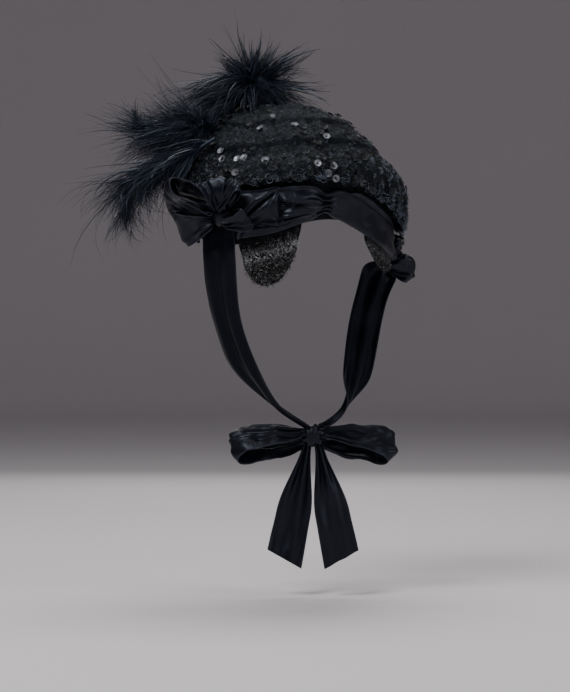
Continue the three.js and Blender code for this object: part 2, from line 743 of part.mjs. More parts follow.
// The top plume stands on a short quill: rings of locks by their tilt from upright, leaning away from the
// wearer's left front, and two wisps that stand over them.
const TOP_PLUME_SEAT = { azimuth: 135, share: 0.2 };
const TOP_PLUME_LEAN = 0.22;
const TOP_PLUME_RINGS = [
  { tilt: 16, count: 5, length: 0.6 },
  { tilt: 48, count: 8, length: 0.8 },
  { tilt: 80, count: 9, length: 1.0 },
  { tilt: 104, count: 7, length: 0.72 },
];
const TOP_PLUME_WISPS = [
  { tilt: 16, lean: 0.1, length: 0.86 },
  { tilt: 27, lean: -0.12, length: 0.9 },
];
function topPlume() {
  const base = quillSeat(TOP_PLUME_SEAT, UP);
  const head = base.clone().add(vector(0, 0, TOP_PLUME_REACH * 0.36));
  const locks = [];
  for (const { tilt, count, length } of TOP_PLUME_RINGS) {
    const level = Math.sin(tilt * DEGREE);
    for (let i = 0; i < count; i += 1) {
      const turn = (2 * Math.PI * (i + tilt / 90)) / count;
      locks.push({
        from: head,
        way: vector(
          level * Math.cos(turn),
          level * Math.sin(turn),
          Math.cos(tilt * DEGREE),
        ).addScaledVector(FAN_SIDE, -TOP_PLUME_LEAN * level),
        length: TOP_PLUME_REACH * length,
        bend: vector(0, 0, -0.2),
        radius: QUILL_RADIUS * 1.2,
      });
    }
  }
  for (const { tilt, lean, length } of TOP_PLUME_WISPS) {
    locks.push({
      from: head,
      way: vector(0, 0, Math.cos(tilt * DEGREE))
        .addScaledVector(FAN_SIDE, Math.sin(tilt * DEGREE))
        .addScaledVector(FAN_BACK, lean),
      length: TOP_PLUME_REACH * length,
      bend: vector(0, 0, -0.08),
      radius: QUILL_RADIUS * 0.7,
    });
  }
  return plume(new THREE.LineCurve3(base, head), locks);
}
addPiece('plume_top', topPlume(), FEATHER);

// A side plume: locks spread along a spine, drooping, each row a share of the way along it, with the way
// it leaves in the fan's plane in degrees above sideways, its length and its lean towards the back.
function sidePlume(seat, spineRows, length, rows) {
  const steps = spineRows.map(({ side, back, up }) =>
    vector(0, 0, up).addScaledVector(FAN_SIDE, side).addScaledVector(FAN_BACK, back),
  );
  const course = (base) =>
    new THREE.CatmullRomCurve3(steps.map((step) => base.clone().addScaledVector(step, length)));
  const way = course(vector(0, 0, 0)).getPoint(1 / QUILL_STEPS);
  const spine = course(quillSeat(seat, way));
  const locks = rows.map((row) => ({
    from: spine.getPoint(row.at),
    way: FAN_SIDE.clone()
      .multiplyScalar(Math.cos(row.rise * DEGREE))
      .addScaledVector(UP, Math.sin(row.rise * DEGREE))
      .addScaledVector(FAN_BACK, row.lean),
    length: length * row.length,
    bend: vector(0, 0, row.droop),
    radius: QUILL_RADIUS * 0.95,
  }));
  return plume(spine, locks);
}

// Each spine's rows are shares of the plume's length: to the side, back and up from its seat.
const UPPER_SEAT = { azimuth: 90, share: 0.47 };
const LOWER_SEAT = { azimuth: 74, share: 0.52 };
const UPPER_SPINE = [
  { side: 0, back: 0, up: 0 },
  { side: 0.28, back: -0.08, up: 0.03 },
  { side: 0.56, back: -0.16, up: -0.02 },
  { side: 0.82, back: -0.22, up: 0.12 },
];
const UPPER_LOCKS = [
  { at: 0.1, rise: 40, length: 0.22, lean: 0.1, droop: 0 },
  { at: 0.25, rise: 30, length: 0.3, lean: -0.2, droop: 0 },
  { at: 0.42, rise: 24, length: 0.34, lean: 0.1, droop: 0 },
  { at: 0.62, rise: 24, length: 0.34, lean: -0.2, droop: 0.1 },
  { at: 0.22, rise: -10, length: 0.34, lean: -0.3, droop: 0.0 },
  { at: 0.45, rise: -14, length: 0.34, lean: 0.05, droop: 0.05 },
  { at: 0.62, rise: -14, length: 0.34, lean: -0.3, droop: 0.05 },
  { at: 0.8, rise: -8, length: 0.26, lean: -0.1, droop: 0.2 },
];
const LOWER_SPINE = [
  { side: 0, back: 0, up: 0 },
  { side: 0.27, back: 0.04, up: -0.17 },
  { side: 0.48, back: 0.04, up: -0.3 },
  { side: 0.58, back: 0.02, up: -0.47 },
];
const LOWER_LOCKS = [
  { at: 0.3, rise: 0, length: 0.5, lean: 0.16, droop: -0.3 },
  { at: 0.42, rise: 0, length: 0.64, lean: -0.06, droop: -0.5 },
  { at: 0.55, rise: -12, length: 0.54, lean: 0.12, droop: -0.42 },
  { at: 0.7, rise: -28, length: 0.42, lean: -0.1, droop: -0.35 },
  { at: 0.85, rise: -48, length: 0.36, lean: 0.1, droop: -0.2 },
  { at: 1.0, rise: -76, length: 0.32, lean: 0.0, droop: 0.0 },
  { at: 0.5, rise: -34, length: 0.3, lean: 0.3, droop: -0.3 },
  { at: 0.68, rise: -56, length: 0.32, lean: 0.25, droop: -0.2 },
];
addPiece(
  'plume_side_upper',
  sidePlume(UPPER_SEAT, UPPER_SPINE, UPPER_PLUME_LENGTH, UPPER_LOCKS),
  FEATHER,
);
addPiece(
  'plume_side_lower',
  sidePlume(LOWER_SEAT, LOWER_SPINE, LOWER_PLUME_LENGTH, LOWER_LOCKS),
  FEATHER,
);

export default bonnet;
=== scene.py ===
# The looks of a black mourning bonnet: lace crown and flounce with sequins, satin ribbon, bows and ties,
# plush nape tabs, a beaded front edge and three ostrich plumes. Blender 4.5, metres, +Z up, the wearer faces
# -Y. Azimuths are degrees round the crown, 0 at the back and 90 at the wearer's left. Down the crown a share
# runs from 0 at the top to 1 at the rim, and lift is the height over the covered crown.
import math

import bmesh
import bpy
import numpy as np
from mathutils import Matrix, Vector


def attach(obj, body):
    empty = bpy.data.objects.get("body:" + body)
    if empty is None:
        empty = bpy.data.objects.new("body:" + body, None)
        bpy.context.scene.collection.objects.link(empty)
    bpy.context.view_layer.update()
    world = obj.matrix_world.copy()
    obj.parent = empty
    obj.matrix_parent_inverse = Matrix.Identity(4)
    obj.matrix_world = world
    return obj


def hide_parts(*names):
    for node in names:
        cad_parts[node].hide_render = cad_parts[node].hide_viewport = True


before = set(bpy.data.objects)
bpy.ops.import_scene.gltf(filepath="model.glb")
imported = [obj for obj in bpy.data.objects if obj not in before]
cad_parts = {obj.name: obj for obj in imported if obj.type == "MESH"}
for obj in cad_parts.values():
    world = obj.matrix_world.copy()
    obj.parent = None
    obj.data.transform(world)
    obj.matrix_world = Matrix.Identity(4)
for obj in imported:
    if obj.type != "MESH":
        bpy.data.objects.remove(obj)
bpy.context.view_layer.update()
MM = 0.001

# Camera: level, behind the wearer's left shoulder, at the photograph's angle
CAMERA_AZIMUTH = 150
CAMERA_DISTANCE = 1.9
CAMERA_HEIGHT = -0.2077
CAMERA_SHIFT = 0.00255
CAMERA_LENS = 112.3

# Crown
CROWN_WIDTH = 206 * MM
CROWN_BACK_REACH = 106 * MM
CROWN_FRONT_REACH = 88 * MM
CROWN_DEPTH = 125 * MM
CROWN_WALL = 2.4 * MM
PLAN_SQUARENESS = 2.3
TIER_HEIGHT = 3 * MM
TIER_LENGTH = 0.17
FIRST_TIER = 0.05
LAST_TIER = 0.55
STEP_LENGTH = 0.005
CLEARANCE = 0.5 * MM

# Flounce, tabs and edging
FLOUNCE_LOFT = 11 * MM
FLOUNCE_WALL = 1.6 * MM
FLOUNCE_GATHERS = 22
TAB_WIDTH = 52 * MM
TAB_AZIMUTH = 36
TAB_DROPS = {"left": 42 * MM, "right": 26 * MM}
TAB_WALL = 2.4 * MM
TAB_PLUSH = 3.5 * MM
TAB_TOP_SHARE = 0.91
TAB_SEAT = 1.6 * CLEARANCE
PLUSH_SHARE = 1.09
EDGING_WIDTH = 7 * MM
EDGING_WALL = 2.6 * MM
EDGING_START = 80

# Satin ribbon
SATIN_WALL = 1.3 * MM
SATIN_CLOTH = 0.5 * MM
BAND_PUFF = 7 * MM
BAND_START = 50
BAND_END = -58
BAND_SEAT = TAB_SEAT + TAB_WALL + CLEARANCE
UNDERLAY_SHARE = 0.03
PUFF_AZIMUTHS = (53, 31)
PUFF_SHARES = (0.79, 0.985)
PUFF_HEIGHT = 10 * MM
TIE_WIDTH = 34 * MM
LEFT_TIE_AZIMUTH = 64.5
RIGHT_TIE_AZIMUTH = -67
BOW_AZIMUTH = 58
LOOP_WIDTH = 30 * MM
BOW_LOOP_LENGTH = 46 * MM
KNOT_RADIUS = 9 * MM
BOW_KNOT_HEIGHT = 14 * MM
ROSETTE_KNOT_RADIUS = 7 * MM
ROSETTE_KNOT_HEIGHT = 13 * MM
SEAM_GAP = 0.3 * MM
CHIN_KNOT = np.array([-28, 6, -287]) * MM
CHIN_KNOT_RADIUS = 10 * MM
CHIN_KNOT_HEIGHT = 15 * MM
CHIN_BOW_ANGLE = 30
CHIN_LOOP_LENGTH = 74 * MM
TAIL_LENGTH = 105 * MM

# Plumes
TOP_PLUME_REACH = 62 * MM
UPPER_PLUME_LENGTH = 80 * MM
LOWER_PLUME_LENGTH = 126 * MM
QUILL_RADIUS = 5 * MM
FAN_SIDE = np.array([math.cos(math.radians(30)), -math.sin(math.radians(30)), 0])
FAN_BACK = np.array([math.sin(math.radians(30)), math.cos(math.radians(30)), 0])
UP = np.array([0.0, 0.0, 1.0])


def unit(v):
    """Vectors divided by their lengths."""
    return v / np.maximum(np.linalg.norm(v, axis=-1, keepdims=True), 1e-12)


def smooth(x):
    """3x² - 2x³ between 0 and 1, level outside."""
    t = np.clip(x, 0, 1)
    return t * t * (3 - 2 * t)


def columns(names, *rows):
    """A short table as an array for each named column."""
    return dict(zip(names.split(), np.array(rows, float).T))


def turned(v, axis, degrees):
    """v turned about a unit axis, by Rodrigues' formula."""
    a = np.radians(degrees)
    along = np.sum(v * axis, axis=-1, keepdims=True) * axis
    return v * np.cos(a) + np.cross(axis, v) * np.sin(a) + along * (1 - np.cos(a))


def crumple(points, size, seed):
    """Soft random folds from -1 to 1: the mean of seven sine waves about size long, in random directions."""
    rng = np.random.default_rng(seed)
    ways = unit(rng.normal(size=(7, 3))) * rng.uniform(0.6, 1.5, (7, 1)) / size
    return np.sin(2 * np.pi * points @ ways.T + rng.uniform(0, 2 * np.pi, 7)).mean(-1) * 1.6


def dented(points, size, seed, way):
    """Points moved along a way by soft random folds of it."""
    return points + crumple(points, size, seed)[..., None] * way


def square_to(v, way):
    """The unit way of what v has square to a unit way."""
    return unit(v - way * np.sum(v * way, -1, keepdims=True))


def two_across(heading, limit=0.9):
    """Two unit ways square to each heading and to each other, the first one level where it can be."""
    a = unit(np.cross(np.where(np.abs(heading[..., 2:]) > limit, [1.0, 0, 0], UP), heading))
    return a, np.cross(heading, a)


def xyz(x, y, z):
    """Points from three coordinates, spread over each other's grids."""
    return np.stack(np.broadcast_arrays(x, y, z), -1)


def turns(n):
    """Angles at n even steps of a full turn."""
    return np.arange(n) * 2 * np.pi / n


def down_steps(n):
    """A column of n even shares."""
    return np.linspace(0, 1, n)[:, None]


def along_steps(n):
    """A row of n even shares."""
    return np.linspace(0, 1, n)[None, :]


# The crown's shape

RIM_HALF = (
    (0, 0.82, 0.2, 0), (18, 0.85, 0.19, 0), (40, 0.95, 0.16, 0), (60, 1, 0.13, 0), (75, 0.96, 0.11, 0),
    (90, 0.84, 0.08, 0), (115, 0.65, 0.03, 0.08), (135, 0.5, 0, 0.2), (160, 0.3, 0, 0.3), (180, 0.22, 0, 0.32),
)
RIM = columns("azimuth drop tuck flare", *[(-row[0], *row[1:]) for row in RIM_HALF[-2:0:-1]], *RIM_HALF)


def cubic(t, start, end, slope, end_slope):
    """The cubic from start to end whose slopes at them are given, at shares t of the way."""
    return start + (end - start) * smooth(t) + t * (1 - t) ** 2 * slope - t * t * (1 - t) * end_slope


def round_table(table, column, azimuth):
    """A column at azimuths: a cubic between rows, with the mean slope of its neighbours at each row."""
    at, value = table["azimuth"], table[column]
    n = len(at)
    a = (np.asarray(azimuth, float) - at[0]) % 360 + at[0]
    i = np.searchsorted(at, a, side="right") - 1

    def place(k):
        return at[k % n] + 360 * (k // n)

    span = place(i + 1) - place(i)
    before, here, after, last = (value[(i + k) % n] for k in (-1, 0, 1, 2))
    slope = (after - before) / (place(i + 1) - place(i - 1)) * span
    end_slope = (last - here) / (place(i + 2) - place(i)) * span
    return cubic((a - place(i)) / span, here, after, slope, end_slope)


def plan_reach(azimuth):
    """How far the crown reaches in plan: a superellipse, longer behind than in front."""
    x = np.abs(np.sin(np.radians(azimuth))) / (CROWN_WIDTH / 2)
    along = np.cos(np.radians(azimuth))
    y = np.abs(along) / np.where(along > 0, CROWN_BACK_REACH, CROWN_FRONT_REACH)
    return (x**PLAN_SQUARENESS + y**PLAN_SQUARENESS) ** (-1 / PLAN_SQUARENESS)


def crown_dome(azimuth, share):
    """A quarter turn of a dome from the top to the rim: out by its sine, down by one less its cosine."""
    end = (1 - round_table(RIM, "flare", azimuth)) * np.pi / 2
    turn = share * end
    tuck = 1 - round_table(RIM, "tuck", azimuth) * smooth((share - 0.7) / 0.3)
    radius = plan_reach(azimuth) * np.sin(turn) / np.sin(end) * tuck
    fall = round_table(RIM, "drop", azimuth) * CROWN_DEPTH
    z = CROWN_WALL - fall * (1 - np.cos(turn)) / (1 - np.cos(end))
    a = np.radians(azimuth)
    return xyz(radius * np.sin(a), radius * np.cos(a), z)


def plain_crown(azimuth, share):
    """The dome, and past its rim straight on down the wall by the rest of the share."""
    azimuth, share = np.broadcast_arrays(np.asarray(azimuth, float), np.asarray(share, float))
    rim = crown_dome(azimuth, np.ones_like(share))
    down = unit(rim - crown_dome(azimuth, np.full_like(share, 0.99)))
    past = np.maximum(share - 1, 0)[..., None] * CROWN_DEPTH
    return crown_dome(azimuth, np.minimum(share, 1)) + past * down


def crown_normal(azimuth, share):
    """The way out of the crown, from small steps round it and down it."""
    s = np.maximum(share, 0.02)
    around = plain_crown(np.add(azimuth, 0.5), s) - plain_crown(np.subtract(azimuth, 0.5), s)
    down = plain_crown(azimuth, s + 0.005) - plain_crown(azimuth, s - 0.005)
    return unit(np.cross(around, down))


def on_crown(azimuth, share, lift):
    """A place over the crown: the dome's point moved out along its normal."""
    return plain_crown(azimuth, share) + crown_normal(azimuth, share) * np.asarray(lift)[..., None]


def crown_frame(azimuth, share):
    """The ways out of the crown, up it, and forwards round it."""
    out = crown_normal(azimuth, share)
    up = square_to(UP, out)
    return out, up, np.cross(out, up)


def tier_lift(share):
    """Each lace tier swells downwards by smooth steps and ends in a short one back."""
    in_tier = ((share - FIRST_TIER + STEP_LENGTH) % TIER_LENGTH) / TIER_LENGTH
    on = (share >= FIRST_TIER) & (share <= LAST_TIER)
    return np.where(on, TIER_HEIGHT * smooth(in_tier), 0)


# Finishes


class Wire:
    """A node's output with arithmetic on it: each operator adds one Math node."""

    def __init__(self, finish, socket):
        self.finish = finish
        self.socket = socket

    def math(self, operation, a, b):
        return self.finish.node("Math", {"operation": operation}, {0: a, 1: b})

    def __add__(self, other):
        return self.math("ADD", self, other)

    def __rsub__(self, other):
        return self.math("SUBTRACT", other, self)

    def __mul__(self, other):
        return self.math("MULTIPLY", self, other)

    __radd__ = __add__
    __rmul__ = __mul__


class Finish:
    """A material in the making."""

    def __init__(self, name):
        self.material = bpy.data.materials.new(name)
        self.material.use_nodes = True
        self.tree = self.material.node_tree
        self.tree.nodes.clear()

    def node(self, kind, settings=None, inputs=None, output=0, stops=None):
        """Any node: its settings and a ramp's stops first, then its inputs' values or links."""
        made = self.tree.nodes.new("ShaderNode" + kind)
        for name, value in (settings or {}).items():
            setattr(made, name, value)
        if stops:
            elements = made.color_ramp.elements
            while len(elements) < len(stops):
                elements.new(0.5)
            for element, (position, value) in zip(elements, stops):
                element.position = position
                element.color = (value, value, value, 1)
        for key, value in (inputs or {}).items():
            if isinstance(value, Wire):
                self.tree.links.new(value.socket, made.inputs[key])
            else:
                made.inputs[key].default_value = value
        return Wire(self, made.outputs[output])

    def place(self):
        """Object coordinates, in metres."""
        return self.node("TexCoord", output="Object")

    def weave_place(self):
        """The cloth's own coordinates, in metres across and along it."""
        return self.node("UVMap", {"uv_map": "weave"})

    def attribute(self, name):
        return self.node("Attribute", {"attribute_name": name}, output="Fac")

    def noise(self, vector, scale, detail=3, roughness=0.5):
        return self.node("TexNoise", None, dict(Vector=vector, Scale=scale, Detail=detail, Roughness=roughness))

    def cells(self, vector, scale, feature="F1"):
        return self.node("TexVoronoi", {"feature": feature}, {"Vector": vector, "Scale": scale})

    def ramp(self, value, *stops):
        return self.node("ValToRGB", None, {"Fac": value}, stops=stops)

    def mix(self, share, low, high):
        """From one colour to another."""
        ends = [(*end, 1) if isinstance(end, tuple) else end for end in (low, high)]
        return self.node("Mix", {"data_type": "RGBA"}, {"Factor": share, 6: ends[0], 7: ends[1]}, output=2)

    def bump(self, height, distance, strength=1.0):
        return self.node("Bump", None, {"Height": height, "Distance": distance, "Strength": strength})

    def shaded(self, **inputs):
        """Closes the material with a Principled shader."""
        named = {key.replace("_", " "): value for key, value in inputs.items()}
        if "Specular Tint" in named:
            named["Specular Tint"] = (*named["Specular Tint"], 1)
        shader = self.node("BsdfPrincipled", None, named)
        end = self.tree.nodes.new("ShaderNodeOutputMaterial")
        self.tree.links.new(shader.socket, end.inputs["Surface"])
        return self.material

    def wandering(self, place, scale, amount):
        """A place moved about by soft noise."""
        drift = self.node("TexNoise", None, {"Vector": place, "Scale": scale, "Detail": 2.0}, "Color")
        half = self.node("VectorMath", {"operation": "SUBTRACT"}, {0: drift, 1: (0.5, 0.5, 0.5)})
        moved = self.node("VectorMath", {"operation": "SCALE"}, {0: half, "Scale": amount})
        return self.node("VectorMath", {"operation": "ADD"}, {0: place, 1: moved})


def lace_finish():
    """Black net: small uneven rings of thread over a fine ground, mottled, dull green where it thins."""
    f = Finish("black_lace")
    place = f.wandering(f.place(), 160, 0.004)
    ring = f.ramp(f.cells(place, 330), (0.16, 0), (0.33, 1), (0.5, 0))
    threads = f.ramp(f.cells(place, 900, "DISTANCE_TO_EDGE"), (0.0, 1), (0.12, 0))
    net = ring * 0.7 + threads * 0.3
    mottle = f.ramp(f.noise(f.place(), 70, 5, 0.65), (0.35, 0.1), (0.68, 1))
    thin = f.ramp(f.noise(f.place(), 24, 2), (0.45, 0), (0.7, 1))
    dark = f.mix(thin, (0.0012, 0.0015, 0.0026), (0.0026, 0.0036, 0.0036))
    pale = f.mix(thin, (0.009, 0.012, 0.020), (0.013, 0.020, 0.024))
    return f.shaded(
        Base_Color=f.mix(net * mottle, dark, pale),
        Roughness=0.62 - ring * 0.2,
        Normal=f.bump(net + mottle * 0.6, 0.0014),
        Specular_IOR_Level=0.26,
        Specular_Tint=(0.72, 0.84, 1.0),
    )


def thread_finish():
    """Twisted black thread and chenille, painted pale by its tone attribute as glints, broken up by a fine noise
    that also gives its bump.
    """
    f = Finish("black_thread")
    fray_and_glint = f.noise(f.place(), 700, 3)
    colour = f.mix(f.attribute("tone") * fray_and_glint, (0.0016, 0.0026, 0.0052), (0.150, 0.185, 0.245))
    return f.shaded(Base_Color=colour, Roughness=0.45, Normal=f.bump(fray_and_glint, 0.0003, 0.6), Specular_IOR_Level=0.4)


def lining_finish():
    """Plain black cotton lining with a fine plain weave."""
    f = Finish("black_lining")
    place = f.place()
    weave = f.node("TexWave", {"bands_direction": "Z"}, {"Vector": place, "Scale": 500.0, "Distortion": 1.0})
    worn = f.noise(place, 30, 4)
    colour = f.mix(worn, (0.010, 0.010, 0.012), (0.020, 0.019, 0.020))
    return f.shaded(Base_Color=colour, Roughness=0.8, Normal=f.bump(weave, 0.0002, 0.4))


def satin_finish(name, gloss):
    """Blue-black satin ribbon: fine warp threads, slight slubs, soft creases and a corded pale selvedge."""
    f = Finish(name)
    cloth = f.weave_place()
    warp = f.node("TexWave", {"bands_direction": "X"}, {"Vector": cloth, "Scale": 420.0, "Distortion": 0.6})
    weft = f.node("TexWave", {"bands_direction": "Y"}, {"Vector": cloth, "Scale": 240.0, "Distortion": 0.4})
    edge = f.ramp(f.attribute("edge"), (0.93, 0), (0.965, 1))
    slubs = f.noise(cloth, 300, 2)
    creases = f.noise(f.wandering(f.place(), 40, 0.01), 110, 4, 0.55)
    worn = f.ramp(f.noise(f.place(), 45, 4, 0.6), (0.4, 0), (0.75, 1))
    body = f.mix(worn, (0.0009, 0.0012, 0.0034), (0.0022, 0.0029, 0.0066))
    colour = f.mix(edge * 0.7, body, (0.026, 0.030, 0.044))
    height = warp * 0.05 + weft * 0.04 + slubs * 0.1 + creases * 1.0 + edge * 0.25
    return f.shaded(
        Base_Color=colour,
        Roughness=0.36 + worn * 0.09 + edge * 0.1,
        Normal=f.bump(height, 0.0011, 0.5),
        Specular_IOR_Level=gloss,
        Specular_Tint=(0.74, 0.82, 1.0),
        Anisotropic=0.35,
        Sheen_Weight=0.02,
        Sheen_Roughness=0.4,
    )


def velvet_finish():
    """Short black velvet: a soft pile that catches light at its edges."""
    f = Finish("black_velvet")
    pile = f.noise(f.place(), 1500, 2)
    brushed = f.ramp(f.noise(f.wandering(f.place(), 60, 0.01), 170, 4, 0.6), (0.4, 0), (0.66, 1))
    colour = f.mix(brushed, (0.0012, 0.0012, 0.0018), (0.009, 0.009, 0.012))
    return f.shaded(
        Base_Color=colour,
        Roughness=0.9,
        Normal=f.bump(pile * 0.4 + brushed, 0.0006, 0.6),
        Specular_IOR_Level=0.1,
        Sheen_Weight=0.07,
        Sheen_Roughness=0.35,
    )


def plush_finish():
    """Curled plush: black at the root; on the curl the tone attribute paints it silvery, as glints."""
    f = Finish("curled_plush")
    tone = f.attribute("tone")
    colour = f.mix(tone, (0.002, 0.002, 0.003), (0.58, 0.59, 0.63))
    return f.shaded(Base_Color=colour, Roughness=0.42 - tone * 0.1, Specular_IOR_Level=0.6)


def jet_finish():
    """Cut jet beads, glossy, with a little dust between them."""
    f = Finish("jet_beads")
    dust = f.noise(f.place(), 400, 3)
    colour = f.mix(dust, (0.006, 0.006, 0.008), (0.022, 0.022, 0.026))
    return f.shaded(Base_Color=colour, Roughness=0.12 + dust * 0.2, Normal=f.bump(dust, 0.0003, 0.4))


def sequin_finish():
    """Cupped gelatine sequins: smoky black, glossy, worn dull in places; their tone attribute paints some pale
    and metallic, as glints.
    """
    f = Finish("smoky_sequins")
    tone = f.attribute("tone")
    worn = f.noise(f.place(), 500, 3)
    colour = f.mix(tone, (0.002, 0.003, 0.005), (0.26, 0.27, 0.30))
    return f.shaded(
        Base_Color=colour,
        Metallic=tone * 0.6,
        Roughness=0.52 - tone * 0.2 + worn * 0.2,
        Normal=f.bump(worn, 0.0002, 0.3),
        Specular_IOR_Level=0.3,
    )


def barb_finish():
    """Ostrich barbs: blue-black, brownish green where the dye has faded at the tips."""
    f = Finish("ostrich_barbs")
    tip = f.attribute("tip")
    tone = f.attribute("tone")
    faded = f.ramp(f.noise(f.place(), 60, 3), (0.4, 0), (0.7, 1))
    deep = f.mix(tone, (0.004, 0.0056, 0.0105), (0.028, 0.038, 0.062))
    brown = f.mix(tone, (0.010, 0.011, 0.011), (0.032, 0.035, 0.036))
    colour = f.mix(tip * faded * 0.8, deep, brown)
    return f.shaded(Base_Color=colour, Roughness=0.42, Specular_IOR_Level=0.36, Specular_Tint=(0.75, 0.86, 1.0))


def floor_finish():
    """A pale matt floor, faintly uneven."""
    f = Finish("pale_floor")
    cloudy = f.noise(f.place(), 1.5, 3)
    colour = f.mix(cloudy, (0.66, 0.62, 0.64), (0.70, 0.66, 0.68))
    return f.shaded(Base_Color=colour, Roughness=0.9)


LACE = lace_finish()
THREAD = thread_finish()
LINING = lining_finish()
SATIN = satin_finish("black_satin", 0.33)
# The ties' satin: the same finish with weaker reflection, a darker copy that paints shade on the ties.
TIE_SATIN_SHADED = satin_finish("tie_satin", 0.15)
VELVET = velvet_finish()
PLUSH = plush_finish()
JET = jet_finish()
SEQUIN = sequin_finish()
BARB = barb_finish()
FLOOR = floor_finish()

# Making pieces


def grid_faces(rows, across, ring=False, closed=False):
    """Four-cornered faces between neighbours of a grid. In a ring its last column joins the first, and
    where it is closed its last row does."""
    i, j = np.meshgrid(np.arange(rows - (not closed)), np.arange(across - (not ring)), indexing="ij")
    k, below = (j + 1) % across, (i + 1) % rows * across
    return np.stack((i * across + j, below + j, below + k, i * across + k), -1).reshape(-1, 4)


def repeated(faces, count, step):
    """The faces of count copies, whose points come step apart."""
    return (faces[None] + (np.arange(count) * step)[:, None, None]).reshape(-1, faces.shape[1])


def shape(name, points, faces, finish, weave=None, **values):
    """A mesh object from points and faces of equally many corners, with values and cloth places by point."""
    points = np.asarray(points, float).reshape(-1, 3)
    faces = np.asarray(faces, int)
    mesh = bpy.data.meshes.new(name)
    mesh.vertices.add(len(points))
    mesh.vertices.foreach_set("co", points.ravel())
    mesh.loops.add(faces.size)
    mesh.loops.foreach_set("vertex_index", faces.ravel())
    mesh.polygons.add(len(faces))
    mesh.polygons.foreach_set("loop_start", np.arange(0, faces.size, faces.shape[1]))
    mesh.polygons.foreach_set("loop_total", np.full(len(faces), faces.shape[1]))
    mesh.update(calc_edges=True)
    mesh.shade_smooth()
    for key, value in values.items():
        spread = np.full(len(points), value) if np.ndim(value) == 0 else np.ravel(value)
        mesh.attributes.new(key, "FLOAT", "POINT").data.foreach_set("value", spread.astype(float))
    if weave is not None:
        places = np.asarray(weave, float).reshape(-1, 2)[faces.ravel()]
        mesh.uv_layers.new(name="weave").data.foreach_set("uv", places.ravel())
    mesh.materials.append(finish)
    mesh.validate()
    obj = bpy.data.objects.new(name, mesh)
    bpy.context.scene.collection.objects.link(obj)
    return obj


def worn_piece(obj, slot, *nodes):
    """Puts a piece on the bonnet and hides the solids that it stands for. Its slot is not used."""
    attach(obj, "root")
    if nodes:
        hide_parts(*nodes)
    return obj


def closed_poles(obj):
    """Joins points that lie on each other, such as a pole's, and turns the faces out."""
    work = bmesh.new()
    work.from_mesh(obj.data)
    bmesh.ops.remove_doubles(work, verts=work.verts, dist=1e-7)
    bmesh.ops.recalc_face_normals(work, faces=work.faces)
    work.to_mesh(obj.data)
    work.free()
    return obj


def walled(obj, thickness):
    """Gives a sheet its cloth's thickness."""
    wall = obj.modifiers.new("cloth", "SOLIDIFY")
    wall.thickness = thickness
    wall.offset = 0
    return obj


def cloth_lengths(points):
    """Places on the cloth for a grid: metres along its columns and rows, from its first corner."""
    steps = [np.linalg.norm(np.diff(points, axis=k), axis=-1).mean(1 - k) for k in (0, 1)]
    v, u = [np.concatenate([[0], np.cumsum(step)]) for step in steps]
    return np.stack(np.broadcast_arrays(u[None, :], v[:, None]), -1)


def edge_share(across):
    """How near a place is to its ribbon's edges, from 0 in the middle to 1, for a share across it."""
    return np.abs(2 * across - 1)


def satin_piece(name, points, node=None, edge=None, deep=False):
    """A ribbon's grid as satin cloth with its thickness. Edge runs to 1 at the ribbon's edges, which are
    the first and the last column unless it is given."""
    edge = edge_share(along_steps(points.shape[1])) if edge is None else edge
    edge = np.broadcast_to(edge, points.shape[:2])
    faces = grid_faces(*points.shape[:2])
    # deep picks the ties' darker copy of the satin, painted shade.
    ribbon = shape(name, points, faces, TIE_SATIN_SHADED if deep else SATIN, cloth_lengths(points), edge=edge)
    worn_piece(walled(ribbon, SATIN_CLOTH), "satin", *([node] if node else []))


def scattered(places, ways, pattern, faces):
    """Copies of a small pattern, one at each place on its frame of ways: its points and its faces."""
    points = places[:, None] + np.einsum("pk,nkc->npc", pattern, ways)
    return points.reshape(-1, 3), repeated(faces, len(places), len(pattern))


def frames_round(out, spin):
    """Frames whose third way is out, spun round it by angles in radians."""
    a, b = two_across(out)
    c, s = np.cos(spin)[:, None], np.sin(spin)[:, None]
    return np.stack([a * c + b * s, b * c - a * s, out], 1)


def strand_paths(roots, ways, bends, lengths, droop, curl, points=9):
    """Strands that leave their roots along their ways and turn towards their bends, by droop times s plus
    curl times s cubed radians at the share s of their lengths."""
    s = np.linspace(0, 1, points)
    bends = square_to(bends, ways)
    angle = np.multiply.outer(droop, s) + np.multiply.outer(curl, s**3)
    heading = np.cos(angle)[..., None] * ways[:, None] + np.sin(angle)[..., None] * bends[:, None]
    middle = (heading[:, 1:] + heading[:, :-1]) / 2
    step = (lengths / (points - 1))[:, None, None]
    path = np.concatenate([np.zeros_like(middle[:, :1]), np.cumsum(middle * step, axis=1)], axis=1)
    return roots[:, None] + path, heading


def strand_strips(paths, headings, widths, rolls, tip_width=0.12):
    """Flat strips along strands, rolled about them: each narrows by the square of its share to its tip."""
    count, points, _ = paths.shape
    s = np.linspace(0, 1, points)
    a, b = two_across(headings, 0.95)
    c, r = np.cos(rolls)[:, None, None], np.sin(rolls)[:, None, None]
    side = (a * c + b * r) * (widths[:, None] * (1 - (1 - tip_width) * s**2))[..., None] / 2
    strip = np.stack([paths - side, paths + side], 2).reshape(-1, 3)
    share = np.broadcast_to(s[None, :, None], (count, points, 2))
    return strip, repeated(grid_faces(points, 2), count, points * 2), share


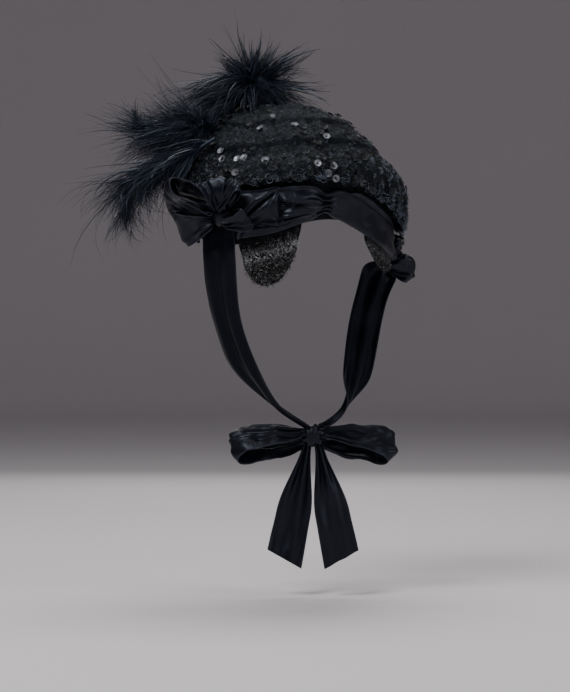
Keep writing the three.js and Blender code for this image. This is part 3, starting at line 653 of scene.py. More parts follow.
def tubes(paths, radii, sides, ring=False):
    """Round threads along paths of equally many points, with a radius for each point."""
    count, points, _ = paths.shape
    step = np.roll(paths, -1, 1) - np.roll(paths, 1, 1) if ring else np.gradient(paths, axis=1)
    a, b = two_across(unit(step))
    turn = turns(sides)[:, None]
    around = np.cos(turn) * a[:, :, None] + np.sin(turn) * b[:, :, None]
    skin = paths[:, :, None] + around * np.broadcast_to(radii, (count, points))[..., None, None]
    faces = grid_faces(points, sides, ring=True, closed=ring)
    return skin.reshape(-1, 3), repeated(faces, count, points * sides)


# Camera, light and stage


def placed(name, data, place, way):
    """A camera or lamp at a place, looking along a way."""
    holder = bpy.data.objects.new(name, data)
    holder.location = place
    holder.rotation_euler = way.to_track_quat("-Z", "Y").to_euler()
    bpy.context.scene.collection.objects.link(holder)
    return holder


FLOOR_HEIGHT = -0.43


def camera_and_stage():
    """The camera, four soft lights, and a pale floor that turns up into a far round wall."""
    look = math.radians(CAMERA_AZIMUTH)
    right = Vector((math.cos(look), math.sin(look), 0))
    ahead = Vector((-math.sin(look), math.cos(look), 0))
    up = Vector((0, 0, 1))
    camera = bpy.data.cameras.new("camera")
    camera.lens = CAMERA_LENS
    camera.sensor_width = 36
    stand = right * CAMERA_SHIFT + up * CAMERA_HEIGHT - ahead * CAMERA_DISTANCE
    bpy.context.scene.camera = placed("camera", camera, stand, ahead)
    lamps = (
        ("key", right * -0.8 - ahead * 1.2 + up * 1.3, 0.7, 27),
        ("fill", right * 1.5 - ahead * 0.9 + up * 0.5, 0.9, 9),
        ("top", ahead * 0.3 + up * 1.5, 0.9, 16),
        ("back", ahead * 1.6 + up * 0.5, 1.2, 6),
    )
    for name, place, size, power in lamps:
        lamp = bpy.data.lights.new(name, "AREA")
        lamp.energy = power
        lamp.size = size
        placed(name, lamp, place, up * -0.1 - place).visible_camera = False
    world = bpy.data.worlds.new("studio")
    world.use_nodes = True
    sky = world.node_tree.nodes["Background"]
    sky.inputs["Color"].default_value = (0.80, 0.80, 0.84, 1)
    sky.inputs["Strength"].default_value = 0.165
    bpy.context.scene.world = world
    bend = np.linspace(0, np.pi / 2, 9)
    reach = np.concatenate([[0, 2, 4], 5 + np.sin(bend), [6]])[:, None]
    height = np.concatenate([[0, 0, 0], 1 - np.cos(bend), [4]])[:, None] + FLOOR_HEIGHT
    points = xyz(reach * np.cos(turns(96)), reach * np.sin(turns(96)), height)
    closed_poles(shape("floor", points, grid_faces(len(reach), 96, ring=True)[:, ::-1], FLOOR))


camera_and_stage()

# Crown and flounce

FLOUNCE = columns(
    "azimuth top bottom loft",
    (-150, 0.6, 0.85, 0.7), (-110, 0.6, 0.88, 0.9), (-60, 0.58, 0.92, 1.0), (-30, 0.6, 0.85, 1.0),
    (0, 0.62, 0.8, 0.9), (30, 0.62, 0.765, 0.7), (60, 0.61, 0.76, 0.35), (90, 0.6, 0.78, 0.35),
    (130, 0.6, 0.84, 0.5),
)


def crown_lift(azimuth, share):
    """The lace's height over the plain crown: its tiers, crumpled by soft folds that fade at the rim."""
    place = plain_crown(azimuth, share)
    folds = crumple(place, 0.02, 1) * 0.7 + crumple(place, 0.008, 2) * 0.9
    fade = smooth(share / 0.06) * (1 - smooth((share - 0.62) / 0.1))
    return tier_lift(share) * 0.75 + (1.0 + folds * 1.3) * fade * MM


def flounce_place(azimuth, down):
    """The share and lift of the flounce at a share down it: it rises off the crown in gathers."""
    top, bottom, loft = (round_table(FLOUNCE, column, azimuth) for column in ("top", "bottom", "loft"))
    gather = 0.82 + 0.18 * np.cos(FLOUNCE_GATHERS * np.radians(azimuth))
    rise = FLOUNCE_LOFT * loft * (1 - (1 - down) ** 2) * gather
    return top + (bottom - top) * down, CLEARANCE + FLOUNCE_WALL / 2 + rise


def flounce_lift(azimuth, down):
    """The flounce's share and lift with finer gathers, which deepen towards its free edge."""
    share, lift = flounce_place(azimuth, down)
    turn = np.radians(azimuth)
    fine = np.sin(61 * turn + 2.2 * np.sin(7 * turn)) + 0.6 * np.sin(97 * turn + 3 * down)
    place = plain_crown(azimuth, share)
    fold = fine * 0.7 * down + crumple(place, 0.012, 3) * 1.1
    return share, np.maximum(lift + fold * MM, CLEARANCE)


def crown_piece():
    """Rings of points down the lace and round under the rim, over a plain lining inside."""
    azimuth = np.degrees(turns(270))[None]
    down = down_steps(96) ** 0.94
    lace = on_crown(azimuth, down, crown_lift(azimuth, down))
    hem_share = np.array([1.004, 1.004, 0.998, 0.98])[:, None]
    hem_lift = np.array([-0.5, -1.4, -2.2, -2.3])[:, None] * MM
    points = np.concatenate([lace, on_crown(azimuth, hem_share, hem_lift)])
    points[0] = points[0].mean(0)
    cover = shape("crown_lace", points, grid_faces(100, 270, ring=True), LACE)
    worn_piece(closed_poles(cover), "lace", "crown")
    inside = on_crown(azimuth[:, ::3], down_steps(40) * 0.99, -CROWN_WALL)
    inside[0] = inside[0].mean(0)
    lining = closed_poles(shape("crown_lining", inside, grid_faces(40, 90, ring=True), LINING))
    lining.data.flip_normals()
    worn_piece(lining, "lace")


def flounce_piece():
    """A gathered ring of lace with its own thickness."""
    azimuth = np.degrees(turns(600))[None]
    points = on_crown(azimuth, *flounce_lift(azimuth, down_steps(20)))
    ruffle = shape("lace_ruffle", points, grid_faces(20, 600, ring=True), LACE)
    worn_piece(walled(ruffle, 0.6 * MM), "lace", "lace_flounce")


def lace_place(azimuth, depth):
    """A place and the way out on the lace: depths to 1 go down the crown to the flounce's top, and from 1
    to 2 down the flounce."""
    top = round_table(FLOUNCE, "top", azimuth)
    on_tiers = depth < 1
    tier_share = top * np.minimum(depth, 1)
    ruffle_share, ruffle_lift = flounce_lift(azimuth, np.clip(depth - 1, 0, 1))
    share = np.where(on_tiers, tier_share, ruffle_share)
    lift = np.where(on_tiers, crown_lift(azimuth, tier_share), ruffle_lift + 0.4 * MM)
    return on_crown(azimuth, share, lift), crown_normal(azimuth, share)


def random_on_lace(rng, count, first=0.02, last=1.98):
    """Azimuths and depths spread evenly by area over the lace."""
    depth = np.sqrt(rng.uniform(first**2, last**2, count))
    return rng.uniform(0, 360, count), np.minimum(depth, last)


def tilted(rng, out, most):
    """Ways tilted from out by up to about most, as a share of it."""
    return unit(out + rng.normal(size=out.shape) * most)


def cup_pattern(radius, sides=12):
    """A cupped disc with a hole: three rings that rise outwards by the square of their reach."""
    reach = np.array([[0.27], [0.66], [1.0]])
    points = xyz(reach * np.cos(turns(sides)), reach * np.sin(turns(sides)), reach**2 * 0.36) * radius
    return points.reshape(-1, 3), grid_faces(3, sides, ring=True)


# Sequins with painted glints: the tone column paints each one pale.
BRIGHT_SEQUINS = columns(
    "azimuth depth tone",
    (64, 1.02, 0.8), (54, 1.03, 1.0), (50, 1.03, 0.7), (68, 0.93, 0.6), (38, 0.56, 0.7), (21, 0.69, 0.6),
    (45, 0.7, 0.5), (0, 0.74, 0.6), (3, 0.88, 0.6), (14, 1.64, 0.8), (6, 1.66, 0.9), (9, 1.84, 0.7),
    (5, 1.94, 0.7), (52, 1.6, 0.5), (38, 1.3, 0.6), (-11, 1.88, 0.4), (160, 0.7, 0.7), (205, 0.9, 0.8),
    (250, 1.4, 0.7), (300, 0.6, 0.6),
)


def sequins():
    """Cupped sequins: a few bright ones, and dim ones thick on the flounce and thinner up the tiers."""
    rng = np.random.default_rng(11)
    spread = random_on_lace(rng, 300, 0.25)
    dim = rng.uniform(0, 0.5, 300) ** 3.5
    azimuth, depth, tone = map(np.append, BRIGHT_SEQUINS.values(), (*spread, dim))
    bright = len(tone) - len(dim)
    place, out = lace_place(azimuth, depth)
    out = tilted(rng, out, np.repeat([0.1, 0.2], [bright, len(dim)])[:, None])
    pattern, faces = cup_pattern(3.2 * MM)
    sizes = np.concatenate([rng.uniform(0.98, 1.08, bright), rng.uniform(0.72, 1.0, len(dim))])
    ways = frames_round(out, rng.uniform(0, 6, len(place))) * sizes[:, None, None]
    points, all_faces = scattered(place + out * 0.7 * MM, ways, pattern, faces)
    tone = np.repeat(tone, len(pattern))
    worn_piece(shape("sequins", points, all_faces, SEQUIN, tone=tone), "beading")


def thread_rings(name, place, ways, radii, tone, points):
    """Small closed rings of thread, each a little oval, on their frames of ways."""
    turn = turns(points)
    circle = np.stack([np.cos(turn), np.sin(turn) * 0.85, 0.12 * np.sin(2 * turn)], -1)
    paths = place[:, None] + np.einsum("pk,nkc->npc", circle, ways) * radii[:, None, None]
    skin, faces = tubes(paths, 0.24 * MM, 3, ring=True)
    worn_piece(shape(name, skin, faces, THREAD, tone=np.repeat(tone, points * 3)), "lace")


def lace_loops():
    """Loops of chenille thread worked thickly all over the lace, standing proud of it."""
    rng = np.random.default_rng(12)
    azimuth, depth = random_on_lace(rng, 3300, 0.06)
    place, out = lace_place(azimuth, depth)
    ways = frames_round(tilted(rng, out, 0.55), rng.uniform(0, 6, len(place)))
    radii = rng.uniform(0.9, 1.9, len(place)) * MM
    # Painted glints: the tone that paints loops pale is raised on the flounce at the wearer's right.
    painted_glint_side = 1 + 4 * smooth((55 - np.abs((azimuth + 245) % 360 - 180)) / 30) * (depth > 1)
    tone = rng.uniform(0, 1, len(place)) ** 3 * 1.4 * painted_glint_side
    thread_rings("lace_loops", place + out * 0.6 * MM, ways, radii, tone, 8)


def ragged_edge():
    """Looped and frayed thread along the flounce's free edge, thicker on the wearer's right."""
    rng = np.random.default_rng(13)
    azimuth = np.concatenate([rng.uniform(0, 360, 620), rng.uniform(-115, -25, 520)])
    place, out = lace_place(azimuth, 2 - rng.uniform(0, 0.2, len(azimuth)))
    up = crown_frame(azimuth, round_table(FLOUNCE, "bottom", azimuth))[1]
    ways = frames_round(tilted(rng, unit(out + up * rng.uniform(-1, 1, (len(out), 1))), 0.7), 0 * azimuth)
    radii = rng.uniform(1.5, 3.0, len(place)) * MM
    # Painted glints: a higher tone paints these edge loops paler than the loops elsewhere.
    tone = rng.uniform(0, 1.7, len(place)) ** 1.7
    thread_rings("ragged_lace_edge", place - up * 0.8 * MM, ways, radii, tone, 9)


# Satin

BAND = columns(
    "azimuth top bottom",
    (-90, 1.02, 1.1), (-58, 0.99, 1.08), (-48, 0.93, 1.08), (-26, 0.895, 1.07), (-13, 0.872, 1.04),
    (0, 0.84, 1.0), (30, 0.795, 1.0), (56, 0.79, 0.98), (120, 0.85, 1.0),
)
PINCH_AZIMUTH = 7
FOLDS = columns(
    "start end top foot width height",
    (56, 5, 0.1, 0.4, 0.09, 1.0),
    (30, 8, 0.3, 0.5, 0.05, 0.7),
    (34, 4, 0.52, 0.56, 0.08, 0.9),
    (56, 9, 0.66, 0.63, 0.07, 1.0),
    (50, 12, 0.9, 0.74, 0.08, 0.8),
    (26, 14, 0.2, 0.34, 0.05, 0.5),
)
OPEN_FOLD = {"azimuth": 36, "across": 0.36, "turn": 11, "drop": 0.27}


def fold_relief(azimuth, across):
    """Soft ridges along the band, each steeper on its lower side, and one that turns back on itself round
    a hollow. They join by the root of the sum of their cubes."""
    row = {name: column[:, None, None] for name, column in FOLDS.items()}
    u = (azimuth - row["start"]) / (row["end"] - row["start"])
    off = (across - row["top"] - (row["foot"] - row["top"]) * smooth(u)) / row["width"]
    ridge = np.where(off < 0, np.exp(-((off / 1.8) ** 2)), np.exp(-((off / 0.8) ** 2)))
    ridges = row["height"] * ridge * smooth(u / 0.12) * smooth((1 - u) / 0.15)
    x = (azimuth - OPEN_FOLD["azimuth"]) / OPEN_FOLD["turn"]
    y = (across - OPEN_FOLD["across"]) / OPEN_FOLD["drop"] + 0.35 * x
    reach = np.hypot(x, y)
    ring = (0.7 - 0.15 * y) * np.exp(-(((reach - 1) / 0.42) ** 2)) * smooth((x + 0.35) / 0.9)
    hollow = 1 - 0.7 * smooth((0.9 - reach) / 0.5)
    return (((ridges * hollow) ** 3).sum(0) + ring**3) ** (1 / 3)


def bulges(a, b, seed):
    """Rounded folds with sharp valleys between them: a power of a sine's size, whose phase wanders."""
    a, b = np.broadcast_arrays(a, b)
    wander = crumple(np.stack([a, b, 0 * a], -1), 1.5, seed)
    return np.abs(np.sin(np.pi * (a + 0.8 * wander))) ** 0.7


def satin_puff():
    """Crushed ribbon pushed up between the bow and the band: rounded folds round a drawn-in middle."""
    u, v = along_steps(110), down_steps(80)
    azimuth = PUFF_AZIMUTHS[0] + (PUFF_AZIMUTHS[1] - PUFF_AZIMUTHS[0]) * u
    waist = 1 - 0.2 * np.sin(np.pi * u) ** 2
    share = (PUFF_SHARES[0] + PUFF_SHARES[1]) / 2 + (PUFF_SHARES[1] - PUFF_SHARES[0]) * (v - 0.5) * waist
    edge_fall = (1 - (2 * u - 1) ** 6) * (1 - (2 * v - 1) ** 6)
    folds = 0.7 * bulges(1.9 * v + 0.8 * u, 1.4 * u, 27) + 0.3 * bulges(1.8 * u - 0.9 * v, 1.6 * v, 28)
    lift = BAND_SEAT + PUFF_HEIGHT * edge_fall * (0.32 + 0.8 * folds)
    points = on_crown(azimuth, share - 0.02 * np.sin(np.pi * u), lift)
    points = dented(points, 0.03, 29, UP * 1.6 * MM)
    satin_piece("satin_puff", points, edge=edge_share(v))


def satin_band():
    """A wide ribbon round the back: soft folds along it where it is gathered, then, past a pinch, a smooth
    stretch to the rosette."""
    along, across = along_steps(340), down_steps(60)
    azimuth = BAND_START + (BAND_END - BAND_START) * along
    top, bottom = (round_table(BAND, column, azimuth) for column in ("top", "bottom"))
    gathered = smooth((azimuth - PINCH_AZIMUTH + 6) / 12)
    near_pinch = np.exp(-(((azimuth - PINCH_AZIMUTH) / 5) ** 2))
    share = (top + bottom) / 2 + (bottom - top) * (across - 0.5) * (1 - 0.4 * near_pinch)
    belly = np.sin(np.pi * across) ** 0.5
    under_puff = 1 - 0.85 * smooth((azimuth - PUFF_AZIMUTHS[1] + 2) / 5)
    relief = fold_relief(azimuth, across) * under_puff
    puff = gathered * (0.1 + 1.05 * relief) + (1 - gathered) * (0.12 + 0.3 * across)
    creases = near_pinch * 0.3 * np.sin(9 * np.pi * across)
    creases = creases + gathered * 0.22 * bulges(4.2 * across - 1.2 * along, 5 * along, 17)
    lift = BAND_SEAT + SATIN_WALL / 2 + BAND_PUFF * belly * (puff * (1 - 0.4 * near_pinch) + creases)
    roll = 1.1 * MM * smooth((edge_share(across) - 0.9) / 0.1)
    points = on_crown(azimuth, share, lift - roll * (1 - gathered))
    points = dented(points, 0.022, 9, crown_normal(azimuth, share) * 0.9 * MM)
    satin_piece("satin_drape", points, "satin_band", edge_share(across))


def satin_underlay():
    """The strip that shows above the band's smooth stretch, a little rippled."""
    along, across = along_steps(150), down_steps(9)
    azimuth = PINCH_AZIMUTH - 3 + (BAND_END - PINCH_AZIMUTH + 3) * along
    share = round_table(BAND, "top", azimuth) + UNDERLAY_SHARE * (2 - 3 * (1 - across) * smooth(along / 0.3))
    points = on_crown(azimuth, share, BAND_SEAT * 0.75 + 0.8 * MM * np.sin(40 * along) * across)
    satin_piece("satin_underlay", points, edge=np.minimum(1.08 - across, 1))


def ribbon_grid(centres, side, out, span, depth, phase=0.0):
    """A ribbon through centres: across it two pleats, as a sine wave of a depth, with a span at each."""
    w = along_steps(33)
    wave = np.sin(2 * np.pi * (2 * w + phase))
    offset = side[:, None] * (span[:, None] * (w - 0.5))[..., None]
    return centres[:, None] + offset + out[:, None] * (depth[:, None] * wave)[..., None]


def ribbon_frames(centres, widthways):
    """Unit ways across and out of a ribbon along its centres, for the way that its width should lie."""
    along = unit(np.gradient(centres, axis=0))
    side = square_to(widthways, along)
    return side, np.cross(along, side)


def pleat_depth(span):
    """The depth of two sine pleats that take up the tie's width in a span: a sine's length grows by a
    quarter of its slope squared."""
    return span / (2 * np.pi) * np.sqrt(np.maximum(TIE_WIDTH / span, 1) - 1)


def bezier(a, b, c, d, t):
    """A cubic curve from a to d with handles b and c."""
    t = t[:, None]
    return (1 - t) ** 3 * a + 3 * (1 - t) ** 2 * t * b + 3 * (1 - t) * t**2 * c + t**3 * d


# For each tie its side, its azimuth, the share where it starts, how soon its width turns, its two handles as
# shares of its fall, and the way that its width takes halfway
TIES = {
    "left": (1, LEFT_TIE_AZIMUTH, 0.82, 0.25, (-0.05, -0.08, -0.53), (0.37, 0, 0.18), (0.62, -0.78, 0)),
    "right": (-1, RIGHT_TIE_AZIMUTH, 0.95, 0.1, (-0.24, -0.085, -0.5), (0.33, 0.07, 0.13), (-0.87, 0.5, 0)),
}
TIE_END_WAY = np.array([-0.5, -0.87, 0])
TIE_MEETS = math.radians(52)
TIE_SEAT = CLEARANCE + SATIN_WALL / 2


def tie(name, side, azimuth, top_share, turn_within, leave, arrive, halfway):
    """A ribbon down the crown's rim and on a cubic curve to the chin knot, gathering into pleats."""
    flat = crown_frame(azimuth, 1.0)[2] * side
    on_rim = on_crown(azimuth, np.linspace(top_share, 1.04, 16), TIE_SEAT)
    start = on_rim[-1]
    sideways = turned(np.array([side, 0.0, 0.0]), UP, -CHIN_BOW_ANGLE)
    meet = CHIN_KNOT_RADIUS + SEAM_GAP + SATIN_WALL / 2
    finish = CHIN_KNOT + (sideways * math.cos(TIE_MEETS) + UP * math.sin(TIE_MEETS)) * meet
    handles = np.array([leave, arrive]) * [side, 1, 1] * (start[2] - finish[2])
    t = np.linspace(0, 1, 121)[1:]
    hanging = bezier(start, start + handles[0], finish + handles[1], finish, t)
    centres = np.concatenate([on_rim, hanging])
    t = np.concatenate([np.zeros(16), t])
    widthways = flat + (np.array(halfway) - flat) * smooth(t / turn_within)[:, None]
    widthways = widthways + (TIE_END_WAY - widthways) * smooth((t - 0.45) / 0.4)[:, None]
    across_way, out = ribbon_frames(centres, widthways)
    span = TIE_WIDTH * (1 - 0.2 * smooth(t / 0.2) - 0.4 * smooth((t - 0.55) / 0.45))
    span = span * (1 + 0.05 * np.sin(9 * t + side) * smooth(t / 0.2))
    depth = pleat_depth(span) * 0.8 * smooth(t / 0.1) + 1.3 * MM * np.exp(-(((t - 0.04) / 0.05) ** 2))
    points = ribbon_grid(centres, across_way, out, span, depth, 0.1)
    points = dented(points, 0.05, 20 + side, (out * smooth(t / 0.2)[:, None])[:, None] * 1.4 * MM)
    satin_piece(f"tie_ribbon_{name}", points, f"tie_{name}", deep=True)


LOOP_NECK = 0.22


def loop_grid(knot, radius, half_height, along, out, length, width, opening, base, tilt, seed, rounding):
    """A ribbon loop: it leaves the knot, opens by a sine, and comes back above its start. Its neck is drawn
    up in pleats that run out into its face, and its edges curl."""
    lean = turned(out, along, tilt)
    t = np.linspace(0, 1, 57)
    arch = np.maximum(np.sin(np.pi * t), 0)
    swell = np.sqrt(arch)
    rise = base - opening * 0.22 + opening * (0.44 * t + 0.56 * smooth(t) * swell)
    on_knot = np.minimum(1, np.abs(rise) / half_height)
    start = radius * np.sqrt(1 - on_knot**2) + SEAM_GAP + SATIN_WALL / 2
    reach = start + (length - start) * arch**0.8
    centres = knot + along * reach[:, None] + lean * rise[:, None]
    across_way = turned(unit(np.cross(out, along)), along, tilt)
    side, face = (way[:, None] for way in ribbon_frames(centres, np.broadcast_to(across_way, centres.shape)))
    span = width * (LOOP_NECK + (1 - LOOP_NECK) * swell)
    w = along_steps(31)
    t = t[:, None]
    open_face = smooth((swell - 0.35) / 0.6)[:, None]
    uneven = 2.3 * w + 0.3 * np.sin(2 * np.pi * (w + 0.17 * seed)) + 0.12 * np.sin(5 * np.pi * t + seed)
    pleats = np.sin(2 * np.pi * (uneven + 0.2 * seed)) * (1 - 0.6 * open_face)
    bend = (2 * w - 1) ** 4
    soft = 0.8 * np.sin(np.pi * w) * np.sin(3 * np.pi * t + seed)
    relief = (pleats * 1.5 + (soft - 1.4 * bend) * open_face) * MM
    points = centres[:, None] + side * (span[:, None] * (w - 0.5))[..., None] + face * relief[..., None]
    points = points - along * (length * rounding * (reach / length)[:, None] ** 2 * bend)[..., None]
    swing = crumple(points, 0.035, 70 + seed) * 2.6 * open_face
    dent = crumple(points, 0.024, 40 + seed) * 2.0 + crumple(points, 0.011, 41 + seed) * 0.6
    return points + (swing[..., None] * side + dent[..., None] * face) * MM


def satin_loop(kind, name, knot, radius, half_height, along, out, length, width, *rest, rounding=0.12):
    """A loop of ribbon with its cloth's thickness, in place of its plain solid."""
    points = loop_grid(knot, radius, half_height, along, out, length, width, *rest, rounding)
    satin_piece(f"{kind}_ribbon_{name}", points, f"{kind}_loop_{name}")


def satin_knot(kind, centre, radius, out, height, seed):
    """A squat ball of wrapped ribbon: rings from pole to pole, ridged by slanting pleats."""
    down = down_steps(33) * np.pi
    turn = turns(72)
    ridge = 1 + np.sin(down) * (0.09 * np.sin(6 * turn + 2.4 * down + seed) + 0.05 * np.sin(11 * turn - 3 * down))
    level = radius * ridge * np.sin(down)
    local = xyz(level * np.cos(turn), level * np.sin(turn), height / 2 * np.cos(down) * (0.6 + 0.2 * ridge))
    points = centre + local @ frames_round(unit(out)[None], np.array([seed]))[0]
    cloth = np.stack(np.broadcast_arrays(turn * radius, down * radius), -1)
    knot = shape(f"{kind}_knot_wrap", points, grid_faces(33, 72, ring=True), SATIN, cloth, edge=0.0)
    worn_piece(closed_poles(knot), "satin", f"{kind}_knot")


BOW_LOOPS = {
    "front_low": (-12, 0.9, 0.84, 0.7, 0.46, -14),
    "front": (32, 1.2, 1.0, 0.8, 0.5, -38),
    "top": (78, 0.68, 0.78, 0.6, 0.64, 24),
    "back": (129, 0.76, 0.68, 0.45, 0.72, -26),
    "low": (176, 0.64, 0.62, 0.7, 0.74, 34),
}
ROSETTE_LOOPS = {
    "front": (8, 0.74, 0.66, 0.6, 0.54, 20),
    "front_low": (-33, 0.58, 0.6, 0.6, 0.54, -20),
}
BOW_SHARE = 0.87
ROSETTE_SHARE = 0.985
KNOT_SEAT = CLEARANCE + SATIN_WALL + SEAM_GAP
STANDING_LOOP_REACH = 23 * MM
STANDING_LOOP_WIDTH = 26 * MM


def bow(kind, azimuth, share, frame_share, radius, height, rows, side):
    """A knot on the crown with its loops round it, by a row of the table for each: the angle from forwards
    up, shares of the usual length and width, the opening as a share of the width, the height on the knot
    and the tilt."""
    out, up, forwards = crown_frame(azimuth, frame_share)
    knot = on_crown(azimuth, share, KNOT_SEAT + height / 2)
    satin_knot(kind, knot, radius, out, height, side + 2)
    for seed, (name, (turn, length, width, opening, base, tilt)) in enumerate(rows.items()):
        turn = math.radians(turn)
        width = LOOP_WIDTH * width
        along = forwards * side * math.cos(turn) + up * math.sin(turn)
        size = (BOW_LOOP_LENGTH * length, width, width * opening)
        seat = (knot, radius, height / 2)
        satin_loop(kind, name, *seat, along, out, *size, (base - 0.5) * height, tilt, seed + 3 * (side + 1))
    return out, up, forwards


def rosette_standing_loop(out, up, forwards):
    """The loop below the rosette that stands straight out from the tie."""
    foot = on_crown(RIGHT_TIE_AZIMUTH, ROSETTE_SHARE, KNOT_SEAT)
    width = STANDING_LOOP_WIDTH
    seat = (foot - up * (ROSETTE_KNOT_RADIUS + CLEARANCE + width / 2), 0, width)
    size = (STANDING_LOOP_REACH, width, width * 0.7)
    satin_loop("rosette", "standing", *seat, out, forwards, *size, -width * 0.17, 14, 5, rounding=0.42)


def chin_bow():
    """The knot under the chin, two loops out to its sides and two tails with slanting ends."""
    sideways = turned(np.array([1.0, 0, 0]), UP, -CHIN_BOW_ANGLE)
    forwards = -np.cross(UP, sideways)
    satin_knot("chin", CHIN_KNOT, CHIN_KNOT_RADIUS, forwards, CHIN_KNOT_HEIGHT, 4)
    for name, side in (("left", 1), ("right", -1)):
        seat = (CHIN_KNOT, CHIN_KNOT_RADIUS, CHIN_KNOT_HEIGHT / 2)
        size = (CHIN_LOOP_LENGTH, TIE_WIDTH, TIE_WIDTH * 0.8)
        along = unit(sideways * side - UP * 0.05)
        satin_loop("chin", name, *seat, along, forwards, *size, 0, 38 * side, 7 + side)
        top = CHIN_KNOT + sideways * side * CHIN_KNOT_RADIUS * 0.42 - UP * (CHIN_KNOT_RADIUS * 0.96 + SEAM_GAP)
        t = down_steps(81)
        swing = sideways * (side * TIE_WIDTH * 0.62) * t + forwards * (side * 5 * MM) * np.sin(2.6 * t)
        centres = top + swing - UP * TAIL_LENGTH * t
        across_way, out = ribbon_frames(centres, np.broadcast_to(sideways, centres.shape))
        span = TIE_WIDTH * (0.2 + 0.7 * smooth(t[:, 0] * 1.6))
        points = ribbon_grid(centres, across_way, out, span, pleat_depth(span) * 0.7)
        points = dented(points, 0.04, 60 + side, out[:, None] * MM)
        slant = 0.16 * TIE_WIDTH * (1 + side * (2 * along_steps(33) - 1) * smooth((t - 0.6) / 0.4))
        points = points + UP * slant[..., None]
        satin_piece(f"tail_ribbon_{name}", points, f"tail_{name}")


# Nape tabs


def tab_place(side, drop, across, down):
    """A tab's azimuth, share and lift: its round end falls with the power 2.4 of the way out to its sides."""
    half_turn = np.degrees(TAB_WIDTH / 2 / (plan_reach(TAB_AZIMUTH) * 0.84))
    x = 2 * across - 1
    end_curve = 1 - 0.42 * np.abs(x) ** 2.4
    narrow = 1 - 0.16 * smooth((down - 0.35) / 0.65)
    share = TAB_TOP_SHARE + (1 + drop / CROWN_DEPTH - TAB_TOP_SHARE) * down * end_curve
    plush = TAB_PLUSH * smooth((share - PLUSH_SHARE) / 0.06) * (1 - x**4)
    return side * (TAB_AZIMUTH + x * half_turn * narrow), share, plush


def nape_tab(name, side, drop):
    """A velvet tab, thicker under its plush, with rows of curled strands on the plush."""
    azimuth, share, plush = tab_place(side, drop, along_steps(60), down_steps(70))
    points = on_crown(azimuth, share, TAB_SEAT + TAB_WALL / 2 + plush * 0.45)
    tab = shape(f"velvet_tab_{name}", points, grid_faces(70, 60), VELVET)
    worn_piece(walled(tab, TAB_WALL * 0.9), "plush", f"nape_tab_{name}")
    rng = np.random.default_rng(30 + side)
    count = 3000
    place = tab_place(side, drop, rng.uniform(0.04, 0.96, count), rng.uniform(0.12, 1.0, count))
    keep = place[1] > PLUSH_SHARE - 0.04 * rng.uniform(0, 2, count)
    azimuth, share, plush = (value[keep] for value in place)
    roots = on_crown(azimuth, share, TAB_SEAT + TAB_WALL * 0.9 + plush * 0.45)
    out, up, forwards = crown_frame(azimuth, np.minimum(share, 1.3))
    n = len(roots)
    ways = unit(out * 0.5 - up * rng.uniform(0.4, 1.2, (n, 1)) + forwards * rng.normal(0, 0.5, (n, 1)))
    bends = unit(forwards * rng.choice([-1, 1], (n, 1)) - up * 0.6 + out * rng.normal(0, 0.3, (n, 1)))
    lengths, droop, curl = (rng.uniform(*span, n) for span in ((3, 5.2), (0.4, 1.6), (1, 3.2)))
    strands = strand_paths(roots, ways, bends, lengths * MM, droop, curl)
    strip, faces, along = strand_strips(*strands, rng.uniform(0.24, 0.4, n) * MM, rng.uniform(0, 3, n), 0.5)
    # Painted glints: a row of curls near the top of the plush, and a few others at random, are painted pale
    # towards their tips; the row is painted fainter on the right tab.
    row = np.exp(-(((share - PLUSH_SHARE - 0.02) / 0.035) ** 2)) * (0.6 + 0.4 * side)
    painted_glint = row * rng.uniform(0, 1, n) ** 1.4 + 0.7 * rng.uniform(0, 1, n) ** 10
    tone = painted_glint[:, None, None] * smooth(along / 0.5)
    curls = worn_piece(shape(f"plush_curls_{name}", strip, faces, PLUSH, tone=tone), "plush")


# Beaded edging


def bead_pattern(radius):
    """A round bead: three rings of six points and a point at each pole."""
    down = np.array([[0.25], [0.5], [0.75]]) * np.pi
    rings = xyz(np.sin(down) * np.cos(turns(6)), np.sin(down) * np.sin(turns(6)), np.cos(down))
    points = np.concatenate([rings.reshape(-1, 3), [UP, -UP]]) * radius
    body, i = grid_faces(3, 6, ring=True), np.arange(6)
    k, top, foot = (i + 1) % 6, np.full(6, 18), np.full(6, 19)
    caps = np.stack([i, k, top], -1), np.stack([12 + k, 12 + i, foot], -1)
    return points, np.concatenate([body[:, [0, 1, 2]], body[:, [0, 2, 3]], *caps])


